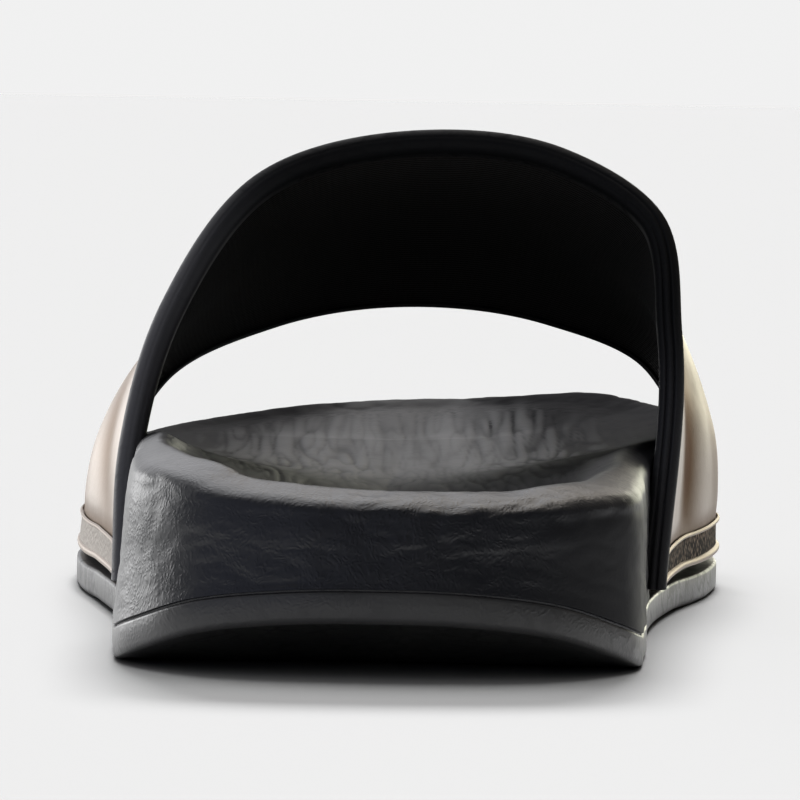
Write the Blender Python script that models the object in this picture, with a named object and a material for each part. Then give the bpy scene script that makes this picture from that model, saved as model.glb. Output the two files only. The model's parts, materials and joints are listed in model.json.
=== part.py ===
"""Sport slide sandal for the left foot: outsole, footbed, strap, bindings and hems.

The toe points along +Y and the medial side along +X. The origin is on the floor under
the middle of the heel. All values are in metres.
"""
import math
from typing import NamedTuple

import bmesh
import bpy
import numpy as np

# Sole
LENGTH = 0.258
HEEL_WIDTH = 0.0703
WAIST_WIDTH = 0.076
BALL_WIDTH = 0.098
HEEL_CENTRE = 0.046
RIM_HEIGHT = 0.0285
BAND_HEIGHT = 0.0043
BAND_EDGE = 0.0010
HEEL_LIFT = 0.0073
HEEL_BEVEL = 0.032
HEEL_CURVE = 1.7
TOE_SPRING = 0.0080
TOE_SPRING_LENGTH = 0.062
TOE_CURVE = 1.8
WAIST_HOLLOW = 0.0016
WAIST_EDGE_LIFT = 0.0003
WAIST_PLACE = 0.108
WAIST_HALF_LENGTH = 0.020
GROOVE_HEIGHT = 0.0006
GROOVE_DEPTH = 0.0010
TAPER_LATERAL = 0.0022
TAPER_MEDIAL = 0.0005
TAPER_END = 0.0018
RIM_WIDTH_HEEL = 0.0062
RIM_WIDTH_SIDE = 0.0030
RIM_NARROW_START = 0.012
RIM_NARROW_LENGTH = 0.055
RIM_ROUND = 0.0042
FAN_HEEL = 0.036
FAN_TOE = 0.040

# Tread
LUG_DEPTH = 0.0016
TREAD_GROOVE = 0.0024
TREAD_PITCH = 0.0115
TREAD_MARGIN = 0.0075
CHEVRON = 0.0050
HEEL_TREAD_START = 0.0065
HEEL_TREAD_COUNT = 8
BALL_TREAD_START = 0.136
BALL_TREAD_COUNT = 9

# Strap
STRAP_WALL = 0.0033
REAR_FOOT = 0.086
REAR_CROWN = 0.1175
FRONT_FOOT = 0.2100
FRONT_CROWN = 0.2045
REAR_CROWN_HEIGHT = 0.0700
MIDDLE_CROWN_HEIGHT = 0.0583
FRONT_CROWN_HEIGHT = 0.0444
STRAP_FOOT_GAP = 0.0017
BINDING_WIDTH = 0.0032
BINDING_PROUD = 0.0003
HEM_HEIGHT = 0.0047
HEM_THICKNESS = 0.0009
BEAD_HEIGHT = 0.0013
BEAD_PROUD = 0.0003
CLEARANCE = 0.0003
RECESS_OVERSHOOT = 0.0060

# Fineness of the meshes
SIDE_COLUMNS = 38
END_CROWDING = 0.055
LEAST_HALF_WIDTH = 0.012
TREAD_EDGE_RING = 0.6
TREAD_MIDDLE_RING = 0.55
STRAP_ROWS = 11
CROWN_COLUMNS = 18
FOOT_STATIONS = (0.0055, 0.0120, 0.0190, 0.0270, 0.0350)
PLACE_PROBE = 0.01
FOOT_PROBE = 0.004
CROWN_PROBE = 0.02


class OutlinePoint(NamedTuple):
    """A point of the sole's outline, as shares of the length and of half a width."""

    along: float
    across: float
    width: float


class SideRow(NamedTuple):
    """Rim heights on both sides at a place along the sole, as shares of RIM_HEIGHT."""

    along: float
    lateral: float
    medial: float


class BedRow(NamedTuple):
    """The footbed at a place along the spine: its middle as a share of RIM_HEIGHT, and
    how long it stays flat towards each side before it curves up to the rim."""

    along: float
    height: float
    lateral: float
    medial: float


class WallRow(NamedTuple):
    """Side wall below the rim: lean as a share of the taper, height of the wall."""

    lean: float
    height: float


class RimRow(NamedTuple):
    """Round of the rim: across as a share of the rim's width, drop of RIM_ROUND."""

    across: float
    drop: float


class Hoop(NamedTuple):
    """The strap's section: across as a share of the outline's side, up of the crown."""

    place: float
    lateral_foot: tuple
    lateral_wall: tuple
    lateral_shoulder: tuple
    lateral_crown: tuple
    crown: tuple
    medial_crown: tuple
    medial_shoulder: tuple
    medial_wall: tuple
    medial_foot: tuple


MEDIAL_OUTLINE = (
    OutlinePoint(0.0000, -0.03, HEEL_WIDTH),
    OutlinePoint(0.0035, 0.313, HEEL_WIDTH),
    OutlinePoint(0.0210, 0.654, HEEL_WIDTH),
    OutlinePoint(0.0660, 0.895, HEEL_WIDTH),
    OutlinePoint(0.1630, 0.995, HEEL_WIDTH),
    OutlinePoint(0.2790, 0.950, WAIST_WIDTH),
    OutlinePoint(0.3880, 1.010, WAIST_WIDTH),
    OutlinePoint(0.5120, 0.878, BALL_WIDTH),
    OutlinePoint(0.6280, 0.996, BALL_WIDTH),
    OutlinePoint(0.7250, 1.041, BALL_WIDTH),
    OutlinePoint(0.8140, 1.006, BALL_WIDTH),
    OutlinePoint(0.8990, 0.884, BALL_WIDTH),
    OutlinePoint(0.9650, 0.633, BALL_WIDTH),
    OutlinePoint(0.9970, 0.290, BALL_WIDTH),
)
LATERAL_OUTLINE = (
    OutlinePoint(0.9965, -0.040, BALL_WIDTH),
    OutlinePoint(0.9710, -0.408, BALL_WIDTH),
    OutlinePoint(0.9170, -0.714, BALL_WIDTH),
    OutlinePoint(0.8260, -0.904, BALL_WIDTH),
    OutlinePoint(0.7210, -0.959, BALL_WIDTH),
    OutlinePoint(0.6200, -0.939, BALL_WIDTH),
    OutlinePoint(0.4960, -0.853, BALL_WIDTH),
    OutlinePoint(0.3800, -1.000, WAIST_WIDTH),
    OutlinePoint(0.2710, -0.963, WAIST_WIDTH),
    OutlinePoint(0.1630, -1.030, HEEL_WIDTH),
    OutlinePoint(0.0660, -0.939, HEEL_WIDTH),
    OutlinePoint(0.0210, -0.711, HEEL_WIDTH),
    OutlinePoint(0.0035, -0.370, HEEL_WIDTH),
)
RIM_ROWS = (
    SideRow(0.00, 0.860, 0.840),
    SideRow(0.03, 0.930, 0.865),
    SideRow(0.09, 0.965, 0.875),
    SideRow(0.18, 0.970, 0.885),
    SideRow(0.33, 0.960, 0.895),
    SideRow(0.50, 0.860, 0.880),
    SideRow(0.70, 0.755, 0.860),
    SideRow(0.87, 0.740, 0.915),
    SideRow(0.96, 0.810, 0.945),
    SideRow(1.00, 0.875, 0.890),
)
WALL_ROWS = (
    WallRow(0.40, 0.45),
    WallRow(0.85, 1.00),
)
RIM_PROFILE = (
    RimRow(0.06, 0.50),
    RimRow(0.20, 0.34),
    RimRow(0.45, 0.20),
    RimRow(0.75, 0.08),
)
BED_SHARES = (0.86, 0.70, 0.52, 0.32)
BED_ROWS = (
    BedRow(0.13, 0.590, 1.9, 1.7),
    BedRow(0.23, 0.600, 1.6, 1.5),
    BedRow(0.33, 0.625, 1.4, 1.4),
    BedRow(0.43, 0.635, 1.3, 1.3),
    BedRow(0.54, 0.625, 1.3, 1.3),
    BedRow(0.66, 0.610, 1.4, 1.4),
    BedRow(0.76, 0.630, 1.6, 1.6),
    BedRow(0.85, 0.710, 1.8, 1.8),
)
STRAP_HOOPS = (
    Hoop(0.0, (-1.020, 0.0), (-1.010, 0.290), (-0.868, 0.605), (-0.505, 0.900), (0.130, 1.0),
         (0.670, 0.964), (1.045, 0.825), (1.120, 0.560), (1.055, 0.0)),
    Hoop(0.5, (-1.000, 0.0), (-0.955, 0.320), (-0.780, 0.620), (-0.410, 0.892), (0.130, 1.0),
         (0.550, 0.947), (0.880, 0.760), (0.998, 0.460), (1.010, 0.0)),
    Hoop(1.0, (-1.000, 0.0), (-0.957, 0.360), (-0.810, 0.660), (-0.420, 0.900), (0.140, 1.0),
         (0.520, 0.930), (0.850, 0.740), (0.988, 0.420), (1.005, 0.0)),
)


def hermite(knots, values, places):
    """Smooth curve through values at knots, read at places."""
    knots = np.asarray(knots, dtype=float)
    values = np.asarray(values, dtype=float)
    places = np.atleast_1d(np.asarray(places, dtype=float))
    slopes = np.gradient(values, knots, axis=0)
    index = np.clip(np.searchsorted(knots, places, side="right") - 1, 0, len(knots) - 2)
    span = knots[index + 1] - knots[index]
    share = (places - knots[index]) / span
    shape = (-1,) + (1,) * (values.ndim - 1)
    share = share.reshape(shape)
    span = span.reshape(shape)
    start, end = values[index], values[index + 1]
    rise = 3 * share ** 2 - 2 * share ** 3
    leave = share - 2 * share ** 2 + share ** 3
    arrive = share ** 3 - share ** 2
    return start + (end - start) * rise + slopes[index] * span * leave + slopes[index + 1] * span * arrive


def chord_lengths(points):
    """Distance along a row of points, from its first point."""
    steps = np.linalg.norm(np.diff(points, axis=0), axis=1)
    return np.concatenate(([0.0], np.cumsum(steps)))


def spaced(points, places):
    """Points at the given distances along a fine row of points."""
    lengths = chord_lengths(points)
    return np.stack([np.interp(places, lengths, axis) for axis in points.T], axis=1)


def smoothstep(value):
    """Soft step from 0 to 1."""
    value = min(max(value, 0.0), 1.0)
    return value * value * (3 - 2 * value)


def fine_outline():
    """The closed outline of the sole as a fine row of points, from the heel's back."""
    rows = MEDIAL_OUTLINE + LATERAL_OUTLINE
    points = np.array([(row.across * row.width / 2, row.along * LENGTH) for row in rows])
    closed = np.vstack((points[-3:], points, points[:4]))
    knots = chord_lengths(closed)
    places = np.linspace(knots[3], knots[3 + len(points)], 1201)
    return hermite(knots, closed, places)


def half_outlines():
    """The medial and lateral halves of the outline, both from heel to toe tip."""
    outline = fine_outline()
    tip = int(np.argmax(outline[:, 1]))
    return outline[:tip + 1], outline[tip:][::-1]


MEDIAL_HALF, LATERAL_HALF = half_outlines()


def side_across(half, along):
    """Distance of one side of the outline from the middle plane at a place along it."""
    return float(np.interp(along, half[:, 1], half[:, 0]))


def spine_across(along):
    """Middle of the outline at a place along it."""
    return (side_across(MEDIAL_HALF, along) + side_across(LATERAL_HALF, along)) / 2


def floor_height(along, waist_lift=WAIST_EDGE_LIFT):
    """Height of the outsole's underside: heel bevel, waist and toe spring."""
    heel = max(0.0, 1 - along / HEEL_BEVEL)
    toe = max(0.0, 1 - (LENGTH - along) / TOE_SPRING_LENGTH)
    waist = smoothstep(2 - abs(along - WAIST_PLACE) / WAIST_HALF_LENGTH)
    return HEEL_LIFT * heel ** HEEL_CURVE + TOE_SPRING * toe ** TOE_CURVE + waist_lift * waist


def rim_height(along, side):
    """Height of the rim at a place along the sole, side from -1 lateral to 1 medial."""
    places = [row.along for row in RIM_ROWS]
    heights = [(row.lateral, row.medial) for row in RIM_ROWS]
    lateral, medial = hermite(places, heights, along / LENGTH)[0]
    share = (side + 1) / 2
    return RIM_HEIGHT * (lateral + (medial - lateral) * share)


class Column(NamedTuple):
    """One upright line of the sole's side, with the spine point that it faces."""

    place: np.ndarray
    outward: np.ndarray
    spine: np.ndarray
    side: float


def sole_columns():
    """Columns round the sole, the medial ones from heel to toe, then the lateral ones."""
    sides = []
    for half in (MEDIAL_HALF, LATERAL_HALF):
        length = chord_lengths(half)[-1]
        share = np.linspace(0, 1, SIDE_COLUMNS + 1)
        share = share - END_CROWDING * np.sin(2 * math.pi * share)
        sides.append(spaced(half, share * length))
    medial, lateral = sides
    ring = np.vstack((medial, lateral[1:-1][::-1]))
    before = np.roll(ring, 1, axis=0)
    after = np.roll(ring, -1, axis=0)
    tangent = after - before
    tangent /= np.linalg.norm(tangent, axis=1)[:, None]
    columns = []
    for index, place in enumerate(ring):
        station = index if index <= SIDE_COLUMNS else 2 * SIDE_COLUMNS - index
        along = (medial[station][1] + lateral[station][1]) / 2
        along = min(max(along, FAN_HEEL), LENGTH - FAN_TOE)
        spine = np.array((spine_across(along), along))
        outward = np.array((tangent[index][1], -tangent[index][0]))
        half_width = side_across(MEDIAL_HALF, place[1]) - spine_across(place[1])
        side = (place[0] - spine_across(place[1])) / max(half_width, LEAST_HALF_WIDTH)
        columns.append(Column(place, outward, spine, min(max(side, -1.0), 1.0)))
    return columns


COLUMNS = sole_columns()


def taper_of(column):
    """How far the side leans in at the top of a column."""
    side = TAPER_MEDIAL if column.side > 0 else TAPER_LATERAL
    turn = abs(column.outward[1]) ** 2
    return side + (TAPER_END - side) * turn


def rim_width_of(column):
    """Width of the rim at a column, broad round the heel and narrow at the sides."""
    share = smoothstep((column.place[1] - RIM_NARROW_START) / RIM_NARROW_LENGTH)
    return RIM_WIDTH_HEEL + (RIM_WIDTH_SIDE - RIM_WIDTH_HEEL) * share


def inset(column, distance, height):
    """A point of a column moved inwards and set at a height."""
    place = column.place - column.outward * distance
    return np.array((place[0], place[1] - HEEL_CENTRE, height))


def toward_spine(column, distance, share, height):
    """A point between the spine and the inner edge of the rim at an inset."""
    edge = column.place - column.outward * distance
    place = column.spine + (edge - column.spine) * share
    return np.array((place[0], place[1] - HEEL_CENTRE, height))


def outsole_ring_points(column):
    """Section of the outsole at a column, from the underside's middle to the top's."""
    along = column.place[1]
    between = column.spine[1] + (along - column.spine[1]) * TREAD_MIDDLE_RING
    base = floor_height(along)
    middle = floor_height(column.spine[1])
    hollow = floor_height(column.spine[1], WAIST_HOLLOW)
    return [
        toward_spine(column, 0.0, 0.0, hollow),
        toward_spine(column, TREAD_MARGIN, TREAD_MIDDLE_RING, floor_height(between, WAIST_HOLLOW)),
        inset(column, TREAD_MARGIN * TREAD_EDGE_RING, base),
        inset(column, BAND_EDGE, base),
        inset(column, 0.0, base + BAND_EDGE),
        inset(column, 0.0, base + BAND_HEIGHT - BAND_EDGE / 2),
        inset(column, BAND_EDGE / 2, base + BAND_HEIGHT),
        inset(column, TREAD_MARGIN, base + BAND_HEIGHT),
        toward_spine(column, TREAD_MARGIN, 0.0, middle + BAND_HEIGHT),
    ]


def bed_height(column, share, edge_height):
    """Height of the footbed between the spine and the inner edge of the rim."""
    places = [row.along for row in BED_ROWS]
    rows = [row[1:] for row in BED_ROWS]
    height, lateral, medial = hermite(places, rows, column.spine[1] / LENGTH)[0]
    flatness = lateral + (medial - lateral) * smoothstep((column.side + 1) / 2)
    middle = height * RIM_HEIGHT
    return middle + (edge_height - middle) * share ** flatness


def midsole_ring_points(column):
    """Section of the midsole at a column: underside, groove, wall, rim and footbed."""
    along = column.place[1]
    base = floor_height(along) + BAND_HEIGHT + CLEARANCE
    middle = floor_height(column.spine[1]) + BAND_HEIGHT + CLEARANCE
    wall = base + GROOVE_HEIGHT
    rim = rim_height(along, column.side)
    taper = taper_of(column)
    width = rim_width_of(column)
    edge = taper + width
    points = [
        toward_spine(column, 0.0, 0.0, middle),
        inset(column, TREAD_MARGIN, base),
        inset(column, GROOVE_DEPTH, base),
        inset(column, GROOVE_DEPTH, wall),
        inset(column, 0.0, wall + GROOVE_HEIGHT / 2),
    ]
    for row in WALL_ROWS:
        height = wall + (rim - RIM_ROUND - wall) * row.height
        points.append(inset(column, row.lean * taper, height))
    for row in RIM_PROFILE:
        points.append(inset(column, taper + row.across * width, rim - row.drop * RIM_ROUND))
    points.append(inset(column, edge, rim))
    for share in BED_SHARES:
        points.append(toward_spine(column, edge, share, bed_height(column, share, rim)))
    points.append(toward_spine(column, edge, 0.0, bed_height(column, 0.0, rim)))
    return points


def add_face(mesh, corners):
    """Add one face, leaving out corners that fall together."""
    unique = list(dict.fromkeys(corners))
    if len(unique) > 2:
        mesh.faces.new(unique)


def loft(sections, closed, ladder_caps):
    """Closed body through sections, each a row of points that runs round the body.

    closed joins the last section to the first, for a body whose rows end in its middle;
    ladder_caps closes the rows' own ends, for a body with two end faces.
    """
    mesh = bmesh.new()
    known = {}

    def vertex(point):
        key = tuple(round(value, 7) for value in point)
        if key not in known:
            known[key] = mesh.verts.new(key)
        return known[key]

    grid = [[vertex(point) for point in section] for section in sections]
    count = len(grid)
    width = len(grid[0])
    for row in range(count if closed else count - 1):
        here, there = grid[row], grid[(row + 1) % count]
        for index in range(width if ladder_caps else width - 1):
            after = (index + 1) % width
            add_face(mesh, (here[index], there[index], there[after], here[after]))
    if ladder_caps:
        for section in (grid[0], grid[-1]):
            for step in range(width // 2 - 1):
                add_face(mesh, (section[step], section[step + 1],
                                section[width - 2 - step], section[width - 1 - step]))
    bmesh.ops.recalc_face_normals(mesh, faces=mesh.faces)
    return mesh


def strap_floor(place):
    """Height of the strap's feet, above the outsole's band, at a place across the strap."""
    along = REAR_FOOT + (FRONT_FOOT - REAR_FOOT) * place
    return floor_height(along) + BAND_HEIGHT + STRAP_FOOT_GAP


def hoop_points(place):
    """Fine row of points round the strap's outside at a place, rear 0 to front 1."""
    foot = REAR_FOOT + (FRONT_FOOT - REAR_FOOT) * place
    crown = REAR_CROWN + (FRONT_CROWN - REAR_CROWN) * place
    heights = (REAR_CROWN_HEIGHT, MIDDLE_CROWN_HEIGHT, FRONT_CROWN_HEIGHT)
    places = [hoop.place for hoop in STRAP_HOOPS]
    height = float(hermite(places, heights, place)[0])
    shares = hermite(places, [hoop[1:] for hoop in STRAP_HOOPS], place)[0]
    lateral = -side_across(LATERAL_HALF, foot)
    medial = side_across(MEDIAL_HALF, foot)
    floor = strap_floor(place)
    points = []
    for across, up in shares:
        points.append((across * (medial if across > 0 else lateral),
                       foot + (crown - foot) * up - HEEL_CENTRE,
                       floor + (height - floor) * up))
    points = np.array(points)
    knots = chord_lengths(points)
    return hermite(knots, points, np.linspace(0, knots[-1], 241))


def strap_stations():
    """Distances from the lateral foot of the strap's lengthwise lines, as functions.

    Each is a pair: a length from a foot, or a share of the stretch between the walls.
    """
    low = [("lateral", distance) for distance in (0.0, HEM_HEIGHT) + FOOT_STATIONS]
    high = [("medial", distance) for distance in reversed((0.0, HEM_HEIGHT) + FOOT_STATIONS)]
    middle = [("crown", step / (CROWN_COLUMNS + 1)) for step in range(1, CROWN_COLUMNS + 1)]
    return low + middle + high


def station_distance(station, length):
    """Distance along a hoop of one station."""
    side, value = station
    if side == "lateral":
        return value
    if side == "medial":
        return length - value
    start = FOOT_STATIONS[-1]
    return start + (length - 2 * start) * value


class StrapSurface:
    """Outer surface of the strap, read by place across it and distance along a hoop."""

    def __init__(self):
        self.rows = {}

    def row(self, place):
        """Fine hoop and its chord lengths at a place."""
        key = round(place, 6)
        if key not in self.rows:
            points = hoop_points(place)
            self.rows[key] = (points, chord_lengths(points))
        return self.rows[key]

    def on_hoop(self, place, station):
        """Point on the surface, running straight down below a foot."""
        points, lengths = self.row(place)
        distance = station_distance(station, lengths[-1])
        over = max(-distance, distance - lengths[-1], 0.0)
        distance = min(max(distance, 0.0), lengths[-1])
        point = np.array([np.interp(distance, lengths, axis) for axis in points.T])
        point[2] -= over
        return point

    def at(self, place, station, depth):
        """Point at a depth under the surface, along its inward normal."""
        side, value = station
        reach = CROWN_PROBE if side == "crown" else FOOT_PROBE
        low_place, high_place = max(place - PLACE_PROBE, 0.0), min(place + PLACE_PROBE, 1.0)
        across = self.on_hoop(high_place, station) - self.on_hoop(low_place, station)
        level = max(value, 0.0)
        lower, upper = level - min(reach, level), level + reach
        along = self.on_hoop(place, (side, upper)) - self.on_hoop(place, (side, lower))
        if side == "medial":
            along = -along
        normal = np.cross(along, across)
        normal /= np.linalg.norm(normal)
        return self.on_hoop(place, station) - normal * depth


SURFACE = StrapSurface()


def binding_share():
    """Width of a binding as a share of the strap's width from rear to front."""
    width = np.linalg.norm(SURFACE.on_hoop(1.0, ("crown", 0.5)) - SURFACE.on_hoop(0.0, ("crown", 0.5)))
    return BINDING_WIDTH / width, CLEARANCE / width


def strap_sections():
    """Sections of the strap along its hoops: outside from rear to front, then inside."""
    binding, gap = binding_share()
    places = np.linspace(binding + gap, 1 - binding - gap, STRAP_ROWS)
    step = HEM_THICKNESS + CLEARANCE
    sections = []
    for station in strap_stations():
        side, value = station
        levels = [(station, 0.0)]
        if side != "crown" and value <= HEM_HEIGHT:
            levels = [(station, step)]
        if side != "crown" and value == HEM_HEIGHT:
            levels.append(((side, value + CLEARANCE), 0.0))
        if side == "medial":
            levels.reverse()
        for where, depth in levels:
            outside = [SURFACE.at(place, where, depth) for place in places]
            inside = [SURFACE.at(place, where, STRAP_WALL) for place in reversed(places)]
            sections.append(outside + inside)
    return sections


def binding_sections(rear):
    """Sections of the rear or the front binding, a rounded strip along the strap's rim."""
    binding, _ = binding_share()
    profile = (
        (1.00, -BINDING_PROUD),
        (0.45, -BINDING_PROUD),
        (0.12, 0.25 * STRAP_WALL),
        (0.00, 0.55 * STRAP_WALL),
        (0.12, 0.85 * STRAP_WALL),
        (0.45, STRAP_WALL),
        (0.75, STRAP_WALL),
        (1.00, STRAP_WALL),
    )
    sections = []
    for station in strap_stations():
        section = []
        for share, depth in profile:
            place = share * binding if rear else 1 - share * binding
            section.append(SURFACE.at(place, station, depth))
        sections.append(section)
    return sections


def hem_sections(side):
    """Sections of one hem, from its rear end to its front, with the bead at its foot."""
    binding, gap = binding_share()
    profile = (
        (0.0, HEM_THICKNESS),
        (0.0, 0.2 * HEM_THICKNESS),
        (0.25 * BEAD_HEIGHT, -BEAD_PROUD),
        (0.75 * BEAD_HEIGHT, -BEAD_PROUD),
        (BEAD_HEIGHT, 0.2 * HEM_THICKNESS),
        (HEM_HEIGHT - CLEARANCE, 0.2 * HEM_THICKNESS),
        (HEM_HEIGHT, 0.5 * HEM_THICKNESS),
        (HEM_HEIGHT, HEM_THICKNESS),
    )
    sections = []
    for place in np.linspace(binding + gap, 1 - binding - gap, STRAP_ROWS):
        sections.append([SURFACE.at(place, (side, level), depth) for level, depth in profile])
    return sections


def run_out(row, length):
    """A row of points with its two end points moved outwards by a length."""
    moved = list(row)
    for tip, neighbour in ((0, 1), (-1, -2)):
        way = row[tip] - row[neighbour]
        moved[tip] = row[tip] + way / np.linalg.norm(way) * length
    return moved


def recess_sections(side):
    """Sections of the cutter that seats one foot of the strap in the midsole."""
    binding, gap = binding_share()
    between = np.linspace(binding + gap, 1 - binding - gap, STRAP_ROWS)
    places = [0.0, *between, 1.0]
    sections = []
    for level in (-RECESS_OVERSHOOT, 0.0, HEM_HEIGHT) + FOOT_STATIONS:
        where = (side, level)
        inner = [SURFACE.at(place, where, STRAP_WALL + CLEARANCE) for place in places]
        outer = [SURFACE.at(place, where, -RECESS_OVERSHOOT) for place in places]
        sections.append(run_out(outer, CLEARANCE) + run_out(inner, CLEARANCE)[::-1])
    return sections


def tread_cutter():
    """Chevron grooves under heel and forefoot, joined into one cutting body."""
    mesh = bmesh.new()
    starts = [HEEL_TREAD_START + TREAD_PITCH * index for index in range(HEEL_TREAD_COUNT)]
    starts += [BALL_TREAD_START + TREAD_PITCH * index for index in range(BALL_TREAD_COUNT)]
    for along in starts:
        room = TREAD_MARGIN + CHEVRON / 2
        lateral = side_across(LATERAL_HALF, along) + room
        medial = side_across(MEDIAL_HALF, along) - room
        across = np.linspace(lateral, medial, 5)
        waves = (0.0, CHEVRON, 0.0, CHEVRON, 0.0)
        row = [(x, along + wave) for x, wave in zip(across, waves)]
        back = [(x, y + TREAD_GROOVE) for x, y in reversed(row)]
        level = max(floor_height(along), floor_height(along + CHEVRON)) + LUG_DEPTH
        low = [mesh.verts.new((x, y - HEEL_CENTRE, -LUG_DEPTH)) for x, y in row + back]
        base = mesh.faces.new(low)
        grown = bmesh.ops.extrude_face_region(mesh, geom=[base])
        lifted = [item for item in grown["geom"] if isinstance(item, bmesh.types.BMVert)]
        bmesh.ops.translate(mesh, verts=lifted, vec=(0, 0, level + LUG_DEPTH))
    bmesh.ops.recalc_face_normals(mesh, faces=mesh.faces)
    return mesh


def material(name, colour, roughness, metallic):
    """Plain material of one part."""
    made = bpy.data.materials.new(name)
    made.use_nodes = True
    shader = made.node_tree.nodes["Principled BSDF"]
    shader.inputs["Base Color"].default_value = (*colour, 1.0)
    shader.inputs["Roughness"].default_value = roughness
    shader.inputs["Metallic"].default_value = metallic
    return made


def add_object(name, mesh, collection, finish):
    """Object from a bmesh, linked to a collection, with a material where it has one."""
    data = bpy.data.meshes.new(name)
    mesh.to_mesh(data)
    mesh.free()
    made = bpy.data.objects.new(name, data)
    collection.objects.link(made)
    if finish is not None:
        data.materials.append(material(name, *finish))
    data.shade_smooth()
    data.set_sharp_from_angle(angle=math.radians(35))
    return made


def add_cutter(name, mesh, collection):
    """Hidden cutting body."""
    made = add_object(name, mesh, collection, None)
    made.hide_render = True
    made.display_type = "WIRE"
    return made


def cut(target, cutter):
    """Boolean difference that stays on the target as a modifier."""
    modifier = target.modifiers.new(cutter.name, "BOOLEAN")
    modifier.operation = "DIFFERENCE"
    modifier.solver = "EXACT"
    modifier.object = cutter


def new_collection(name):
    """Collection linked to the scene."""
    made = bpy.data.collections.new(name)
    bpy.context.scene.collection.children.link(made)
    return made


def main():
    """Build the slide."""
    for item in list(bpy.data.objects):
        bpy.data.objects.remove(item, do_unlink=True)
    parts = new_collection("slide_sandal")
    cutters = new_collection("cutters")

    foam = ((0.030, 0.031, 0.036), 0.55, 0.0)
    rubber = ((0.040, 0.040, 0.043), 0.60, 0.0)
    metallic_leather = ((0.46, 0.37, 0.31), 0.35, 0.7)
    edge_fabric = ((0.012, 0.013, 0.018), 0.50, 0.0)

    outsole = loft([outsole_ring_points(column) for column in COLUMNS], True, False)
    outsole = add_object("outsole", outsole, parts, rubber)
    cut(outsole, add_cutter("tread_grooves", tread_cutter(), cutters))

    midsole = loft([midsole_ring_points(column) for column in COLUMNS], True, False)
    midsole = add_object("midsole", midsole, parts, foam)
    for side in ("lateral", "medial"):
        recess = loft(recess_sections(side), False, True)
        cut(midsole, add_cutter(side + "_recess", recess, cutters))

    add_object("strap", loft(strap_sections(), False, True), parts, metallic_leather)
    for name, rear in (("rear_binding", True), ("front_binding", False)):
        add_object(name, loft(binding_sections(rear), False, True), parts, edge_fabric)
    for side in ("lateral", "medial"):
        hem = loft(hem_sections(side), False, True)
        add_object(side + "_hem", hem, parts, metallic_leather)


main()
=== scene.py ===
"""Looks of the left foot sport slide sandal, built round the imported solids.

The foam footbed, the rubber outsole, the metallic strap with its lining, the folded edge
bindings and the hems are modelled again as fine smooth meshes in the solids' own frame,
and every one of them gets a procedural finish. All sizes are in metres.
"""
from __future__ import annotations

import json
import logging
import math
from dataclasses import dataclass, field
from enum import Enum
from typing import Callable, NamedTuple

import bmesh
import bpy
import numpy as np
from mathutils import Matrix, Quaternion, Vector, noise

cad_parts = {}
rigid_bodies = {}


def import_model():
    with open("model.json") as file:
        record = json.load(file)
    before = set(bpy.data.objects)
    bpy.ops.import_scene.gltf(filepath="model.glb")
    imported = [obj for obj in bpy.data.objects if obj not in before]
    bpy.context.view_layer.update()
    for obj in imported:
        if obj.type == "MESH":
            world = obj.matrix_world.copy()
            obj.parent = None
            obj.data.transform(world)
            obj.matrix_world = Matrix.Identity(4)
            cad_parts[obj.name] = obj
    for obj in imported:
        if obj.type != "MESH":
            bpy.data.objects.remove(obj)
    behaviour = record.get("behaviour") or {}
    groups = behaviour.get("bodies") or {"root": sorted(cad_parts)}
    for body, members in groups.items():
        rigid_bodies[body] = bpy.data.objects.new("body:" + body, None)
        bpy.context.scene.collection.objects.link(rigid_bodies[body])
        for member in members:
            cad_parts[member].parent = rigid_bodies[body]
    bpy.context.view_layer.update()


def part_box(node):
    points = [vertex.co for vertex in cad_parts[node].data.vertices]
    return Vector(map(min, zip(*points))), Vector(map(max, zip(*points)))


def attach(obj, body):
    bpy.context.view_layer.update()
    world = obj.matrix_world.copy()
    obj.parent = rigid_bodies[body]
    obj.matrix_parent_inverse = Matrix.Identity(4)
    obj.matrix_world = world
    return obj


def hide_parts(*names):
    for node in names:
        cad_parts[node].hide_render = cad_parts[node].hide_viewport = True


LOG = logging.getLogger("slide_sandal")
BODY = "root"


class Side(Enum):
    """The two sides of the foot, with the sign of their X."""

    LATERAL = -1
    MEDIAL = 1


class End(Enum):
    """The two ends of the strap along the foot."""

    REAR = 0
    FRONT = 1


class OutlinePoint(NamedTuple):
    """A point of the sole's outline, as shares of the length and of half a width."""

    along: float
    across: float
    width: float


class Fold(NamedTuple):
    """A soft fold of the skin: troughs have a depth over 0, ridges under 0."""

    place: float
    lean: float
    width: float
    level: float
    reach: float
    depth: float


class RimRow(NamedTuple):
    """The rim at a place along the sole: its heights as shares of its full height."""

    along: float
    lateral: float
    medial: float


class BedRow(NamedTuple):
    """The bed at a place along the sole: its middle, and how flat it runs to each side."""

    along: float
    middle: float
    lateral: float
    medial: float


class Wrinkle(NamedTuple):
    """A layer of winding lines: its noise's cell and shift, its weight and sharpness."""

    cell: tuple[float, float, float]
    shift: float
    weight: float
    sharpness: float


class Panel(NamedTuple):
    """A soft panel of the studio: its way, the cosine at its edge, strength, coolness."""

    aim: tuple[float, float, float]
    edge: float
    strength: float
    cool: float


class Lamp(NamedTuple):
    """A lamp on the floor: its turn, rise and spread in degrees, and its strength."""

    turn: float
    rise: float
    spread: float
    strength: float


class Columns(NamedTuple):
    """Upright lines round the sole: places, outward ways, facing spine points, sides."""

    place: np.ndarray
    outward: np.ndarray
    spine: np.ndarray
    side: np.ndarray


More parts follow.
